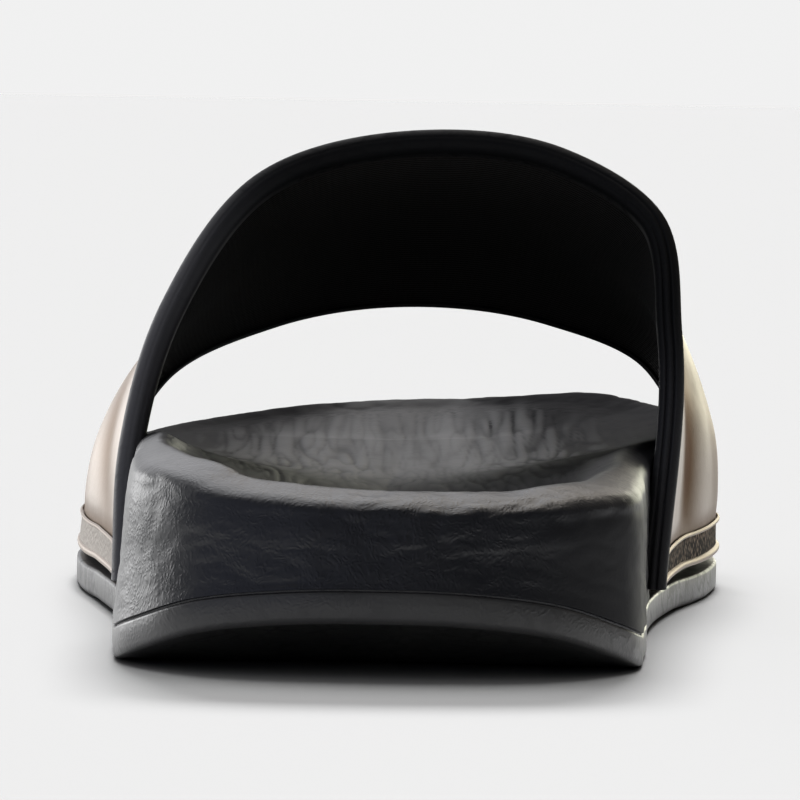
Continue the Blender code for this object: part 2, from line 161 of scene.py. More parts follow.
def hermite(knots: np.ndarray, values: np.ndarray, places: np.ndarray) -> np.ndarray:
    """Read a smooth curve through values.

    Args:
        knots: Rising places of the values.
        values: One value or row of values at each knot.
        places: Where the curve is read.

    Returns:
        The curve's values, one for each place.
    """
    knots = np.asarray(knots, dtype=float)
    values = np.asarray(values, dtype=float)
    places = np.atleast_1d(np.asarray(places, dtype=float))
    slopes = np.gradient(values, knots, axis=0)
    index = np.clip(np.searchsorted(knots, places, side="right") - 1, 0, len(knots) - 2)
    span = knots[index + 1] - knots[index]
    share = (places - knots[index]) / span
    shape = (-1,) + (1,) * (values.ndim - 1)
    share, span = share.reshape(shape), span.reshape(shape)
    rise = 3 * share ** 2 - 2 * share ** 3
    leave = share - 2 * share ** 2 + share ** 3
    arrive = share ** 3 - share ** 2
    bend = slopes[index] * span * leave + slopes[index + 1] * span * arrive
    return values[index] + (values[index + 1] - values[index]) * rise + bend


def chord_lengths(points: np.ndarray) -> np.ndarray:
    """Distance along a row of points from its first point."""
    steps = np.linalg.norm(np.diff(points, axis=0), axis=1)
    return np.concatenate(([0.0], np.cumsum(steps)))


def smoothstep(value: np.ndarray) -> np.ndarray:
    """Soft step from 0 to 1."""
    value = np.clip(value, 0.0, 1.0)
    return value * value * (3 - 2 * value)


def fade(value: np.ndarray, start: float, width: float) -> np.ndarray:
    """Soft step from 0 at a start to 1 at a width further on."""
    return smoothstep((value - start) / width)


def unit(vectors: np.ndarray) -> np.ndarray:
    """Vectors brought to length one along their last axis."""
    return vectors / np.linalg.norm(vectors, axis=-1, keepdims=True)


@dataclass
class SoleForm:
    """Shape of the sole: outline, floor line, rim and footbed.

    The length and the heel's place come from the frame; the other sizes and the tables
    are those of the solids.
    """

    length: float
    heel_centre: float
    heel_width: float = 0.0703
    waist_width: float = 0.076
    ball_width: float = 0.098
    rim_height: float = 0.0285
    band_height: float = 0.0043
    band_edge: float = 0.0010
    heel_lift: float = 0.0073
    heel_bevel: float = 0.032
    heel_curve: float = 1.7
    toe_spring: float = 0.0080
    toe_spring_length: float = 0.062
    toe_curve: float = 1.8
    waist_hollow: float = 0.0016
    waist_edge_lift: float = 0.0003
    waist_place: float = 0.108
    waist_half_length: float = 0.020
    groove_height: float = 0.0002
    groove_depth: float = 0.0005
    taper_lateral: float = 0.0022
    taper_medial: float = 0.0005
    taper_end: float = 0.0018
    rim_width_heel: float = 0.0062
    rim_width_side: float = 0.0030
    rim_narrow_start: float = 0.012
    rim_narrow_length: float = 0.055
    rim_round: float = 0.0042
    fan_heel: float = 0.036
    fan_toe: float = 0.040
    tread_margin: float = 0.0075
    clearance: float = 0.0003
    end_crowding: float = 0.055
    least_half_width: float = 0.012
    side_columns: int = 240
    medial: np.ndarray = field(init=False)
    lateral: np.ndarray = field(init=False)

    def __post_init__(self) -> None:
        """Work out both halves of the outline."""
        outline = self.fine_outline()
        tip = int(np.argmax(outline[:, 1]))
        self.medial = outline[:tip + 1]
        self.lateral = outline[tip:][::-1]

    def outline_table(self) -> list[OutlinePoint]:
        """Points of the outline, from the heel's back round the medial side."""
        heel, waist, ball = self.heel_width, self.waist_width, self.ball_width
        return [
            OutlinePoint(0.0000, -0.03, heel),
            OutlinePoint(0.0035, 0.313, heel),
            OutlinePoint(0.0210, 0.654, heel),
            OutlinePoint(0.0660, 0.895, heel),
            OutlinePoint(0.1630, 0.995, heel),
            OutlinePoint(0.2790, 0.950, waist),
            OutlinePoint(0.3880, 1.010, waist),
            OutlinePoint(0.5120, 0.878, ball),
            OutlinePoint(0.6280, 0.996, ball),
            OutlinePoint(0.7250, 1.041, ball),
            OutlinePoint(0.8140, 1.006, ball),
            OutlinePoint(0.8990, 0.884, ball),
            OutlinePoint(0.9650, 0.633, ball),
            OutlinePoint(0.9970, 0.290, ball),
            OutlinePoint(0.9965, -0.040, ball),
            OutlinePoint(0.9710, -0.408, ball),
            OutlinePoint(0.9170, -0.714, ball),
            OutlinePoint(0.8260, -0.904, ball),
            OutlinePoint(0.7210, -0.959, ball),
            OutlinePoint(0.6200, -0.939, ball),
            OutlinePoint(0.4960, -0.853, ball),
            OutlinePoint(0.3800, -1.000, waist),
            OutlinePoint(0.2710, -0.963, waist),
            OutlinePoint(0.1630, -1.030, heel),
            OutlinePoint(0.0660, -0.939, heel),
            OutlinePoint(0.0210, -0.711, heel),
            OutlinePoint(0.0035, -0.370, heel),
        ]

    def fine_outline(self) -> np.ndarray:
        """The closed outline as a fine row of points from the heel's back."""
        points = np.array([(row.across * row.width / 2, row.along * self.length)
                           for row in self.outline_table()])
        closed = np.vstack((points[-3:], points, points[:4]))
        knots = chord_lengths(closed)
        places = np.linspace(knots[3], knots[3 + len(points)], 2401)
        return hermite(knots, closed, places)

    def across(self, side: Side, along: np.ndarray) -> np.ndarray:
        """Distance of one side of the outline from the middle plane.

        Args:
            side: Lateral or medial.
            along: Places from the heel's back.

        Returns:
            X of the outline, negative on the lateral side.
        """
        half = self.medial if side is Side.MEDIAL else self.lateral
        return np.interp(along, half[:, 1], half[:, 0])

    def spine_across(self, along: np.ndarray) -> np.ndarray:
        """Middle of the outline at places along it."""
        return (self.across(Side.MEDIAL, along) + self.across(Side.LATERAL, along)) / 2

    def floor(self, along: np.ndarray, waist_lift: float | None = None) -> np.ndarray:
        """Height of the underside at places from the heel's back.

        Args:
            along: Places from the heel's back.
            waist_lift: Rise at the waist, that of the sole's edge when left out.

        Returns:
            Heights above the floor.
        """
        lift = self.waist_edge_lift if waist_lift is None else waist_lift
        heel = np.maximum(0.0, 1 - along / self.heel_bevel)
        toe = np.maximum(0.0, 1 - (self.length - along) / self.toe_spring_length)
        waist = smoothstep(2 - np.abs(along - self.waist_place) / self.waist_half_length)
        ends = self.heel_lift * heel ** self.heel_curve + self.toe_spring * toe ** self.toe_curve
        return ends + lift * waist

    def rim(self, along: np.ndarray, side: np.ndarray) -> np.ndarray:
        """Height of the rim, side running from -1 lateral to 1 medial."""
        table = np.array([
            RimRow(0.00, 0.860, 0.840), RimRow(0.03, 0.930, 0.865), RimRow(0.09, 0.965, 0.875),
            RimRow(0.18, 0.970, 0.885), RimRow(0.33, 0.960, 0.895), RimRow(0.50, 0.860, 0.880),
            RimRow(0.70, 0.755, 0.860), RimRow(0.87, 0.740, 0.915), RimRow(0.96, 0.810, 0.945),
            RimRow(1.00, 0.875, 0.890)])
        both = hermite(table[:, 0], table[:, 1:], along / self.length)
        share = (side + 1) / 2
        return self.rim_height * (both[:, 0] + (both[:, 1] - both[:, 0]) * share)

    def rim_width(self, columns: Columns) -> np.ndarray:
        """Width of the rim at each column, broad round the heel and narrow at the sides."""
        share = fade(columns.place[:, 1], self.rim_narrow_start, self.rim_narrow_length)
        return self.rim_width_heel + (self.rim_width_side - self.rim_width_heel) * share

    def bed(self, columns: Columns, share: float, edge: np.ndarray) -> np.ndarray:
        """Height of the footbed between the spine and the rim.

        Args:
            columns: The sole's columns.
            share: 0 on the spine and 1 at the rim's inner edge.
            edge: Height of that edge at each column.

        Returns:
            Height at each column.
        """
        table = np.array([
            BedRow(0.13, 0.590, 1.9, 1.7), BedRow(0.23, 0.600, 1.6, 1.5),
            BedRow(0.33, 0.625, 1.4, 1.4), BedRow(0.43, 0.635, 1.3, 1.3),
            BedRow(0.54, 0.625, 1.3, 1.3), BedRow(0.66, 0.610, 1.4, 1.4),
            BedRow(0.76, 0.630, 1.6, 1.6), BedRow(0.85, 0.710, 1.8, 1.8)])
        rows = hermite(table[:, 0], table[:, 1:], columns.spine[:, 1] / self.length)
        blend = smoothstep((columns.side + 1) / 2)
        flatness = rows[:, 1] + (rows[:, 2] - rows[:, 1]) * blend
        middle = rows[:, 0] * self.rim_height
        return middle + (edge - middle) * share ** flatness

    def columns(self) -> Columns:
        """Columns round the sole, medial ones from heel to toe, then lateral ones back."""
        sides = []
        for half in (self.medial, self.lateral):
            lengths = chord_lengths(half)
            share = np.linspace(0, 1, self.side_columns + 1)
            share = share - self.end_crowding * np.sin(2 * math.pi * share)
            places = share * lengths[-1]
            sides.append(np.stack([np.interp(places, lengths, axis) for axis in half.T], axis=1))
        medial, lateral = sides
        ring = np.vstack((medial, lateral[1:-1][::-1]))
        tangent = unit(np.roll(ring, -1, axis=0) - np.roll(ring, 1, axis=0))
        outward = np.stack((tangent[:, 1], -tangent[:, 0]), axis=1)
        along = (medial[:, 1] + lateral[:, 1]) / 2
        along = np.concatenate((along, along[1:-1][::-1]))
        along = np.clip(along, self.fan_heel, self.length - self.fan_toe)
        spine = np.stack((self.spine_across(along), along), axis=1)
        middle = self.spine_across(ring[:, 1])
        half_width = self.across(Side.MEDIAL, ring[:, 1]) - middle
        side = (ring[:, 0] - middle) / np.maximum(half_width, self.least_half_width)
        return Columns(ring, outward, spine, np.clip(side, -1.0, 1.0))

    def inset(self, columns: Columns, distance: np.ndarray, height: np.ndarray) -> np.ndarray:
        """Points of all columns, moved inwards and set at a height, in the row's frame."""
        distance = np.broadcast_to(distance, columns.side.shape)
        place = columns.place - columns.outward * distance[:, None]
        height = np.broadcast_to(height, columns.side.shape)
        return np.stack((place[:, 0], place[:, 1] - self.heel_centre, height), axis=1)

    def toward_spine(self, columns: Columns, distance: np.ndarray, share: float,
                     height: np.ndarray) -> np.ndarray:
        """Points between the spine and an inset edge, in the row's frame."""
        distance = np.broadcast_to(distance, columns.side.shape)
        edge = columns.place - columns.outward * distance[:, None]
        place = columns.spine + (edge - columns.spine) * share
        height = np.broadcast_to(height, columns.side.shape)
        return np.stack((place[:, 0], place[:, 1] - self.heel_centre, height), axis=1)


@dataclass
class StrapForm:
    """Shape of the strap: a surface read by place across it and distance along a hoop."""

    sole: SoleForm
    wall: float = 0.0033
    rear_foot: float = 0.086
    rear_crown: float = 0.1175
    front_foot: float = 0.2100
    front_crown: float = 0.2045
    crown_heights: tuple[float, float, float] = (0.0700, 0.0583, 0.0444)
    foot_gap: float = 0.0017
    binding_width: float = 0.0032
    binding_proud: float = 0.0003
    hem_height: float = 0.0047
    hem_thickness: float = 0.0009
    bead_height: float = 0.0009
    overshoot: float = 0.0060
    fine: int = 481

    def shares(self, places: np.ndarray) -> np.ndarray:
        """Hoop points at places: across as shares of the outline, up of the crown."""
        rear = [(-1.020, 0.0), (-1.010, 0.290), (-0.868, 0.605), (-0.505, 0.900), (0.130, 1.0),
                (0.670, 0.964), (1.045, 0.825), (1.120, 0.560), (1.055, 0.0)]
        middle = [(-1.000, 0.0), (-0.955, 0.320), (-0.780, 0.620), (-0.410, 0.892), (0.130, 1.0),
                  (0.550, 0.947), (0.880, 0.760), (0.998, 0.460), (1.010, 0.0)]
        front = [(-1.000, 0.0), (-0.957, 0.360), (-0.810, 0.660), (-0.420, 0.900), (0.140, 1.0),
                 (0.520, 0.930), (0.850, 0.740), (0.988, 0.420), (1.005, 0.0)]
        return hermite([0.0, 0.5, 1.0], [rear, middle, front], places)

    def hoop(self, place: float) -> np.ndarray:
        """Fine row of points round the strap's outside, rear at 0 and front at 1."""
        foot = self.rear_foot + (self.front_foot - self.rear_foot) * place
        crown = self.rear_crown + (self.front_crown - self.rear_crown) * place
        height = hermite([0.0, 0.5, 1.0], self.crown_heights, place)[0]
        shares = self.shares(place)[0]
        lateral = -self.sole.across(Side.LATERAL, foot)
        medial = self.sole.across(Side.MEDIAL, foot)
        floor = float(self.sole.floor(foot)) + self.sole.band_height + self.foot_gap
        across = shares[:, 0] * np.where(shares[:, 0] > 0, medial, lateral)
        along = foot + (crown - foot) * shares[:, 1] - self.sole.heel_centre
        up = floor + (height - floor) * shares[:, 1]
        points = np.stack((across, along, up), axis=1)
        knots = chord_lengths(points)
        return hermite(knots, points, np.linspace(0, knots[-1], self.fine))

    def surface(self, places: np.ndarray, distances: Callable[[float], np.ndarray],
                depth: np.ndarray | float = 0.0) -> np.ndarray:
        """Points on or under the strap's outer surface.

        Args:
            places: Places across the strap, rear 0 to front 1.
            distances: Gives the distances along a hoop for that hoop's length.
            depth: Depth under the surface, one value or one for each point.

        Returns:
            Array of places by distances by three.
        """
        rows = []
        for place in places:
            points = self.hoop(float(place))
            lengths = chord_lengths(points)
            where = distances(lengths[-1])
            inside = np.clip(where, 0.0, lengths[-1])
            row = np.stack([np.interp(inside, lengths, axis) for axis in points.T], axis=1)
            row[:, 2] -= np.abs(where - inside)
            rows.append(row)
        grid = np.array(rows)
        around = np.gradient(grid, axis=1)
        across = np.gradient(grid, axis=0)
        normal = unit(np.cross(around, across))
        depth = np.broadcast_to(depth, grid.shape[:2])
        return grid - normal * depth[..., None]

    def binding_share(self) -> tuple[float, float]:
        """Width of a binding and of its clearance, as shares of the strap's width."""
        crown = self.surface(np.array((0.0, 1.0)), lambda length: np.array((0.0, length / 2)))
        width = float(np.linalg.norm(crown[1, 1] - crown[0, 1]))
        return self.binding_width / width, self.sole.clearance / width


def placed(name: str, data: bpy.types.ID) -> bpy.types.Object:
    """New object that holds some data, linked to the scene."""
    made = bpy.data.objects.new(name, data)
    bpy.context.scene.collection.objects.link(made)
    return made


def shaped(name: str, mesh: bmesh.types.BMesh) -> bpy.types.Object:
    """New object with a finished bmesh, which is freed."""
    data = bpy.data.meshes.new(name)
    mesh.to_mesh(data)
    mesh.free()
    return placed(name, data)


def grid_mesh(name: str, points: np.ndarray, wrap: bool = False, caps: bool = False,
              scale: tuple[float, float] = (1.0, 1.0),
              shade: np.ndarray | None = None) -> bpy.types.Object:
    """Shape a grid of faces over an array of points.

    Args:
        name: Name of the new object.
        points: Rows by columns by three.
        wrap: Whether the last column meets the first.
        caps: Whether the open first and last rows are closed.
        scale: Real size that the UV map covers along the rows and the columns.
        shade: Amount of painted light and shade at each point, kept as the attribute "shade" for the
            finish.

    Returns:
        The new object, linked to the scene.
    """
    rows, columns = points.shape[:2]
    if wrap:
        points = np.concatenate((points, points[:, :1]), axis=1)
        columns += 1
    mesh = bmesh.new()
    layer = mesh.loops.layers.uv.new("distance")
    # Layer for the painted light and shade of each point.
    depth = mesh.verts.layers.float.new("shade")
    bmesh.ops.create_grid(mesh, x_segments=columns - 1, y_segments=rows - 1, size=0.5)
    for face in mesh.faces:
        for loop in face.loops:
            place = loop.vert.co
            loop[layer].uv = ((place.x + 0.5) * scale[1], (place.y + 0.5) * scale[0])
    for vertex in mesh.verts:
        column = round((vertex.co.x + 0.5) * (columns - 1))
        row = round((vertex.co.y + 0.5) * (rows - 1))
        vertex.co = Vector(points[row, column])
        if shade is not None:
            vertex[depth] = shade[row, column % shade.shape[1]]
    bmesh.ops.remove_doubles(mesh, verts=mesh.verts, dist=1e-6)
    bmesh.ops.dissolve_degenerate(mesh, dist=1e-7, edges=mesh.edges)
    if caps:
        rims = [edge for edge in mesh.edges if edge.is_boundary]
        bmesh.ops.holes_fill(mesh, edges=rims, sides=0)
    bmesh.ops.recalc_face_normals(mesh, faces=mesh.faces)
    made = shaped(name, mesh)
    made.data.shade_smooth()
    return made


def baked(piece: bpy.types.Object) -> bpy.types.Object:
    """Apply all modifiers of a piece to its mesh."""
    bpy.context.view_layer.update()
    graph = bpy.context.evaluated_depsgraph_get()
    data = bpy.data.meshes.new_from_object(piece.evaluated_get(graph))
    piece.modifiers.clear()
    piece.data = data
    return piece


def carve(piece: bpy.types.Object, cutter: bpy.types.Object) -> None:
    """Cut a piece by a closed body and remove that body."""
    modifier = piece.modifiers.new("carve", "BOOLEAN")
    modifier.operation = "DIFFERENCE"
    modifier.solver = "EXACT"
    modifier.object = cutter
    baked(piece)
    bpy.data.objects.remove(cutter, do_unlink=True)


def thicken(piece: bpy.types.Object, wall: float) -> None:
    """Turn an open surface into a closed wall that lies under it, softly shaded."""
    shell = piece.modifiers.new("thickness", "SOLIDIFY")
    shell.thickness = wall
    shell.offset = -1
    shell.use_even_offset = True
    baked(piece)
    soften(piece, 50)


def soften(piece: bpy.types.Object, degrees: float) -> None:
    """Shade a piece smooth, with edges over an angle left sharp."""
    piece.data.shade_smooth()
    piece.data.set_sharp_from_angle(angle=math.radians(degrees))


def dress(piece: bpy.types.Object, finish: bpy.types.Material, slot: str,
          *replaced: str) -> bpy.types.Object:
    """Give a piece its material and body, log its faces and slot, and hide the nodes it stands for."""
    piece.data.materials.clear()
    piece.data.materials.append(finish)
    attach(piece, BODY)
    if replaced:
        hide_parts(*replaced)
    faces = len(piece.data.polygons)
    LOG.info("%s: %d faces, slot %s", piece.name, faces, slot)
    return piece


class Wiring:
    """Small helper that adds and links nodes in one node tree."""

    def __init__(self, tree: bpy.types.NodeTree) -> None:
        """Keep the tree."""
        self.tree = tree

    def add(self, kind: str, inputs: dict | None = None, **settings: object) -> bpy.types.Node:
        """Add a node.

        Args:
            kind: The node's type.
            inputs: Socket names or indices with a value or an output socket to link.
            settings: Attributes of the node.

        Returns:
            The new node.
        """
        node = self.tree.nodes.new(kind)
        for key, value in settings.items():
            setattr(node, key, value)
        for key, value in (inputs or {}).items():
            if isinstance(value, bpy.types.NodeSocket):
                self.tree.links.new(value, node.inputs[key])
            else:
                node.inputs[key].default_value = value
        return node

    def maths(self, operation: str, first: object, second: object = 0.0) -> bpy.types.NodeSocket:
        """Output of a Math node."""
        return self.add("ShaderNodeMath", {0: first, 1: second}, operation=operation).outputs[0]

    def ramp(self, value: object, low: float, high: float, start: float = 0.0,
             end: float = 1.0) -> bpy.types.NodeSocket:
        """Output of a smooth Map Range node."""
        settings = {"Value": value, "From Min": low, "From Max": high, "To Min": start, "To Max": end}
        node = self.add("ShaderNodeMapRange", settings, interpolation_type="SMOOTHSTEP")
        return node.outputs["Result"]

    def blend(self, share: object, first: object, second: object) -> bpy.types.NodeSocket:
        """Output of a colour Mix node."""
        node = self.add("ShaderNodeMix", data_type="RGBA")
        for index, value in ((0, share), (6, first), (7, second)):
            if isinstance(value, bpy.types.NodeSocket):
                self.tree.links.new(value, node.inputs[index])
            else:
                node.inputs[index].default_value = value
        return node.outputs[2]


def new_group(name: str, inputs: dict[str, float], outputs: list[str]) -> tuple:
    """Start a shader node group.

    Args:
        name: Name of the group.
        inputs: Names and defaults of its float inputs; a Vector input is always first.
        outputs: Names of its float outputs.

    Returns:
        The group, its wiring, its input node and its output node.
    """
    group = bpy.data.node_groups.new(name, "ShaderNodeTree")
    group.interface.new_socket("Vector", in_out="INPUT", socket_type="NodeSocketVector")
    for key, value in inputs.items():
        socket = group.interface.new_socket(key, in_out="INPUT", socket_type="NodeSocketFloat")
        socket.default_value = value
    for key in outputs:
        group.interface.new_socket(key, in_out="OUTPUT", socket_type="NodeSocketFloat")
    wiring = Wiring(group)
    return group, wiring, wiring.add("NodeGroupInput"), wiring.add("NodeGroupOutput")


def crease_group() -> bpy.types.NodeTree:
    """Group for crumpled leather grain: long wandering creases over pebbled cells."""
    inputs = {"Crease size": 0.006, "Cell size": 0.0016, "Crease depth": 1.0, "Cell depth": 0.4}
    group, wiring, start, end = new_group("Crumpled grain", inputs, ["Height", "Creases"])
    inverse = wiring.maths("DIVIDE", 1.0, start.outputs["Crease size"])
    warp = wiring.add("ShaderNodeTexNoise", {
        "Vector": start.outputs["Vector"], "Scale": wiring.maths("MULTIPLY", inverse, 0.6),
        "Detail": 3.0, "Roughness": 0.55})
    shift = wiring.add("ShaderNodeVectorMath", {
        0: warp.outputs["Color"], 1: (0.5, 0.5, 0.5)}, operation="SUBTRACT")
    pushed = wiring.add("ShaderNodeVectorMath", {
        0: shift.outputs[0], "Scale": wiring.maths("MULTIPLY", start.outputs["Crease size"], 1.6)},
        operation="SCALE")
    place = wiring.add("ShaderNodeVectorMath", {
        0: start.outputs["Vector"], 1: pushed.outputs[0]}, operation="ADD")
    ridged = wiring.add("ShaderNodeTexNoise", {
        "Vector": place.outputs[0], "Scale": wiring.maths("MULTIPLY", inverse, 0.8),
        "Detail": 3.0, "Roughness": 0.45, "Lacunarity": 2.1}, noise_type="RIDGED_MULTIFRACTAL")
    cracks = wiring.add("ShaderNodeTexVoronoi", {
        "Vector": place.outputs[0], "Scale": inverse}, feature="DISTANCE_TO_EDGE")
    lines = wiring.ramp(cracks.outputs["Distance"], 0.0, 0.16, 1.0, 0.0)
    ridges = wiring.ramp(ridged.outputs["Fac"], 0.35, 1.3)
    creases = wiring.maths("MULTIPLY", lines, wiring.ramp(warp.outputs["Fac"], 0.40, 0.62))
    cells = wiring.add("ShaderNodeTexVoronoi", {
        "Vector": place.outputs[0], "Smoothness": 0.6,
        "Scale": wiring.maths("DIVIDE", 1.0, start.outputs["Cell size"])}, feature="SMOOTH_F1")
    pebbles = wiring.ramp(cells.outputs["Distance"], 0.0, 0.7, 1.0, 0.0)
    deep = wiring.maths("MULTIPLY", creases, start.outputs["Crease depth"])
    soft = wiring.maths("MULTIPLY", ridges, wiring.maths("MULTIPLY", start.outputs["Crease depth"], 0.8))
    fine = wiring.maths("MULTIPLY", pebbles, start.outputs["Cell depth"])
    height = wiring.maths("ADD", wiring.maths("SUBTRACT", fine, deep), soft)
    wiring.tree.links.new(height, end.inputs["Height"])
    wiring.tree.links.new(creases, end.inputs["Creases"])
    return group


def dust_group() -> bpy.types.NodeTree:
    """Group for faint dust and handling marks, as a mask."""
    group, wiring, start, end = new_group("Dust", {"Amount": 0.3, "Size": 0.03}, ["Mask"])
    scale = wiring.maths("DIVIDE", 1.0, start.outputs["Size"])
    cloud = wiring.add("ShaderNodeTexNoise", {
        "Vector": start.outputs["Vector"], "Scale": scale, "Detail": 6.0, "Roughness": 0.65})
    specks = wiring.add("ShaderNodeTexNoise", {
        "Vector": start.outputs["Vector"], "Scale": wiring.maths("MULTIPLY", scale, 30.0), "Detail": 2.0})
    spots = wiring.ramp(specks.outputs["Fac"], 0.62, 0.76)
    patches = wiring.ramp(cloud.outputs["Fac"], 0.42, 0.72)
    both = wiring.maths("ADD", wiring.maths("MULTIPLY", spots, 0.6), patches)
    mask = wiring.maths("MULTIPLY", both, start.outputs["Amount"])
    wiring.tree.links.new(mask, end.inputs["Mask"])
    return group


def weave_group() -> bpy.types.NodeTree:
    """Group for a fine knitted lining, read on the UV map in metres."""
    group, wiring, start, end = new_group("Knit", {"Pitch": 0.0012}, ["Height"])
    turns = wiring.maths("DIVIDE", 2 * math.pi, start.outputs["Pitch"])
    parts = wiring.add("ShaderNodeSeparateXYZ", {0: start.outputs["Vector"]})
    across = wiring.maths("SINE", wiring.maths("MULTIPLY", parts.outputs[0], turns))
    lean = wiring.maths("MULTIPLY", wiring.maths("ABSOLUTE", across), 1.6)
    along = wiring.maths("ADD", wiring.maths("MULTIPLY", parts.outputs[1], turns), lean)
    rows = wiring.maths("SINE", along)
    height = wiring.maths("ADD", wiring.maths("MULTIPLY", rows, 0.5), wiring.maths("MULTIPLY", across, 0.3))
    wiring.tree.links.new(height, end.inputs["Height"])
    return group


@dataclass
class Groups:
    """The shared node groups."""

    crease: bpy.types.NodeTree = field(default_factory=crease_group)
    dust: bpy.types.NodeTree = field(default_factory=dust_group)
    weave: bpy.types.NodeTree = field(default_factory=weave_group)


@dataclass(frozen=True)
class Finish:
    """A surface finish: colours, painted light and shade, gloss and relief."""

    name: str
    colour: tuple[float, float, float]
    # Second colour: dust and wear on grained finishes, the lining's fuzz, and painted shade in the hollows
    # of a knurled strip.
    wear_and_hollow_shade: tuple[float, float, float]
    roughness: float
    metallic: float = 0.0
    specular: float = 0.5
    coat: float = 0.0
    crease_size: float = 0.006
    cell_size: float = 0.0016
    crease_depth: float = 1.0
    crease_rough: float = 0.12
    cell_depth: float = 0.4
    bump: float = 0.0002
    dust: float = 0.1
    edge_tint: tuple[float, float, float] = (1.0, 1.0, 1.0)
    # Painted light and shade: where the attribute "shade" is set, the base colour moves towards
    # painted_light_and_shade and the reflection tint towards painted_shade_tint; fold_gloss and fold_rough
    # change gloss and roughness there.
    painted_light_and_shade: tuple = ()
    painted_shade_tint: tuple[float, float, float] = (1.0, 1.0, 1.0)
    fold_gloss: float = 1.0
    fold_rough: float = 0.0

    def start(self) -> tuple[bpy.types.Material, Wiring, bpy.types.Node]:
        """New material with its wiring and its shader."""
        made = bpy.data.materials.new(self.name)
        made.use_nodes = True
        shader = made.node_tree.nodes["Principled BSDF"]
        shader.inputs["Specular IOR Level"].default_value = self.specular
        shader.inputs["Coat Weight"].default_value = self.coat
        shader.inputs["Coat Roughness"].default_value = 0.25
        shader.inputs["Metallic"].default_value = self.metallic
        shader.inputs["Specular Tint"].default_value = (*self.edge_tint, 1.0)
        return made, Wiring(made.node_tree), shader

    def grained(self, groups: Groups) -> bpy.types.Material:
        """Moulded foam, rubber or coated leather with crumpled grain."""
        made, wiring, shader = self.start()
        place = wiring.add("ShaderNodeTexCoord").outputs["Object"]
        grain = wiring.add("ShaderNodeGroup", node_tree=groups.crease)
        dust = wiring.add("ShaderNodeGroup", node_tree=groups.dust)
        links = made.node_tree.links
        links.new(place, grain.inputs["Vector"])
        links.new(place, dust.inputs["Vector"])
        grain.inputs["Crease size"].default_value = self.crease_size
        grain.inputs["Cell size"].default_value = self.cell_size
        grain.inputs["Crease depth"].default_value = self.crease_depth
        grain.inputs["Cell depth"].default_value = self.cell_depth
        dust.inputs["Amount"].default_value = self.dust
        base = wiring.blend(dust.outputs["Mask"], (*self.colour, 1.0), (*self.wear_and_hollow_shade, 1.0))
        # Painted light and shade: the attribute "shade" darkens or lightens the base colour and tints the
        # reflection.
        if self.painted_light_and_shade:
            folds = wiring.add("ShaderNodeAttribute", attribute_name="shade").outputs["Fac"]
            base = wiring.blend(wiring.maths("MULTIPLY", folds, 0.85), base, (*self.painted_light_and_shade, 1.0))
            gloss = wiring.ramp(folds, 0.0, 1.0, self.specular, self.specular * self.fold_gloss)
            links.new(gloss, shader.inputs["Specular IOR Level"])
            tint = wiring.blend(folds, (*self.edge_tint, 1.0), (*self.painted_shade_tint, 1.0))
            links.new(tint, shader.inputs["Specular Tint"])
        links.new(base, shader.inputs["Base Color"])
        rubbed = wiring.maths("MULTIPLY", grain.outputs["Creases"], self.crease_rough)
        rough = wiring.maths("ADD", self.roughness, rubbed)
        rough = wiring.maths("ADD", rough, wiring.maths("MULTIPLY", dust.outputs["Mask"], 0.5))
        if self.painted_light_and_shade:
            rough = wiring.maths("ADD", rough, wiring.maths("MULTIPLY", folds, self.fold_rough))
        links.new(rough, shader.inputs["Roughness"])
        bump = wiring.add("ShaderNodeBump", {
            "Height": grain.outputs["Height"], "Distance": self.bump, "Strength": 1.0})
        if self.fold_rough:
            links.new(wiring.ramp(folds, 0.0, 0.7, self.bump, self.bump * 0.2), bump.inputs["Distance"])
        links.new(bump.outputs["Normal"], shader.inputs["Normal"])
        return made

    def knurled(self, groups: Groups, strip: Finish, span: tuple[float, float]) -> bpy.types.Material:
        """This finish, with a knurled strip of another one sunk in it.

        Args:
            groups: The shared node groups.
            strip: Colours and relief of the strip.
            span: Part of the UV map's first coordinate that the strip takes.

        Returns:
            The material.
        """
        made = self.grained(groups)
        made.name = strip.name
        wiring = Wiring(made.node_tree)
        shader = made.node_tree.nodes["Principled BSDF"]
        links = made.node_tree.links
        coords = wiring.add("ShaderNodeTexCoord")
        across = wiring.add("ShaderNodeSeparateXYZ", {0: coords.outputs["UV"]}).outputs[0]
        low = wiring.ramp(across, span[0] - 0.0001, span[0] + 0.0001)
        mask = wiring.maths("MULTIPLY", low, wiring.ramp(across, span[1], span[1] + 0.0002, 1.0, 0.0))
        bumps = wiring.add("ShaderNodeTexVoronoi", {
            "Vector": coords.outputs["Object"], "Scale": 1.0 / strip.cell_size}, feature="F1")
        crumbs = wiring.ramp(bumps.outputs["Distance"], 0.15, 0.6, 1.0, 0.0)
        # Painted shade: the hollows between the bumps take the strip's dark second colour.
        shade = wiring.blend(crumbs, (*strip.wear_and_hollow_shade, 1.0), (*strip.colour, 1.0))
        plain = shader.inputs["Base Color"].links[0].from_socket
        links.new(wiring.blend(mask, plain, shade), shader.inputs["Base Color"])
        matt = wiring.maths("MULTIPLY", mask, strip.roughness)
        links.new(wiring.maths("ADD", self.roughness, matt), shader.inputs["Roughness"])
        metal = wiring.ramp(mask, 0.0, 1.0, self.metallic, strip.metallic)
        links.new(metal, shader.inputs["Metallic"])
        gloss = wiring.ramp(mask, 0.0, 1.0, self.specular, strip.specular)
        links.new(gloss, shader.inputs["Specular IOR Level"])
        height = wiring.maths("MULTIPLY", crumbs, mask)
        bump = wiring.add("ShaderNodeBump", {
            "Height": height, "Distance": strip.bump, "Strength": 1.0,
            "Normal": shader.inputs["Normal"].links[0].from_socket})
        links.new(bump.outputs["Normal"], shader.inputs["Normal"])
        return made

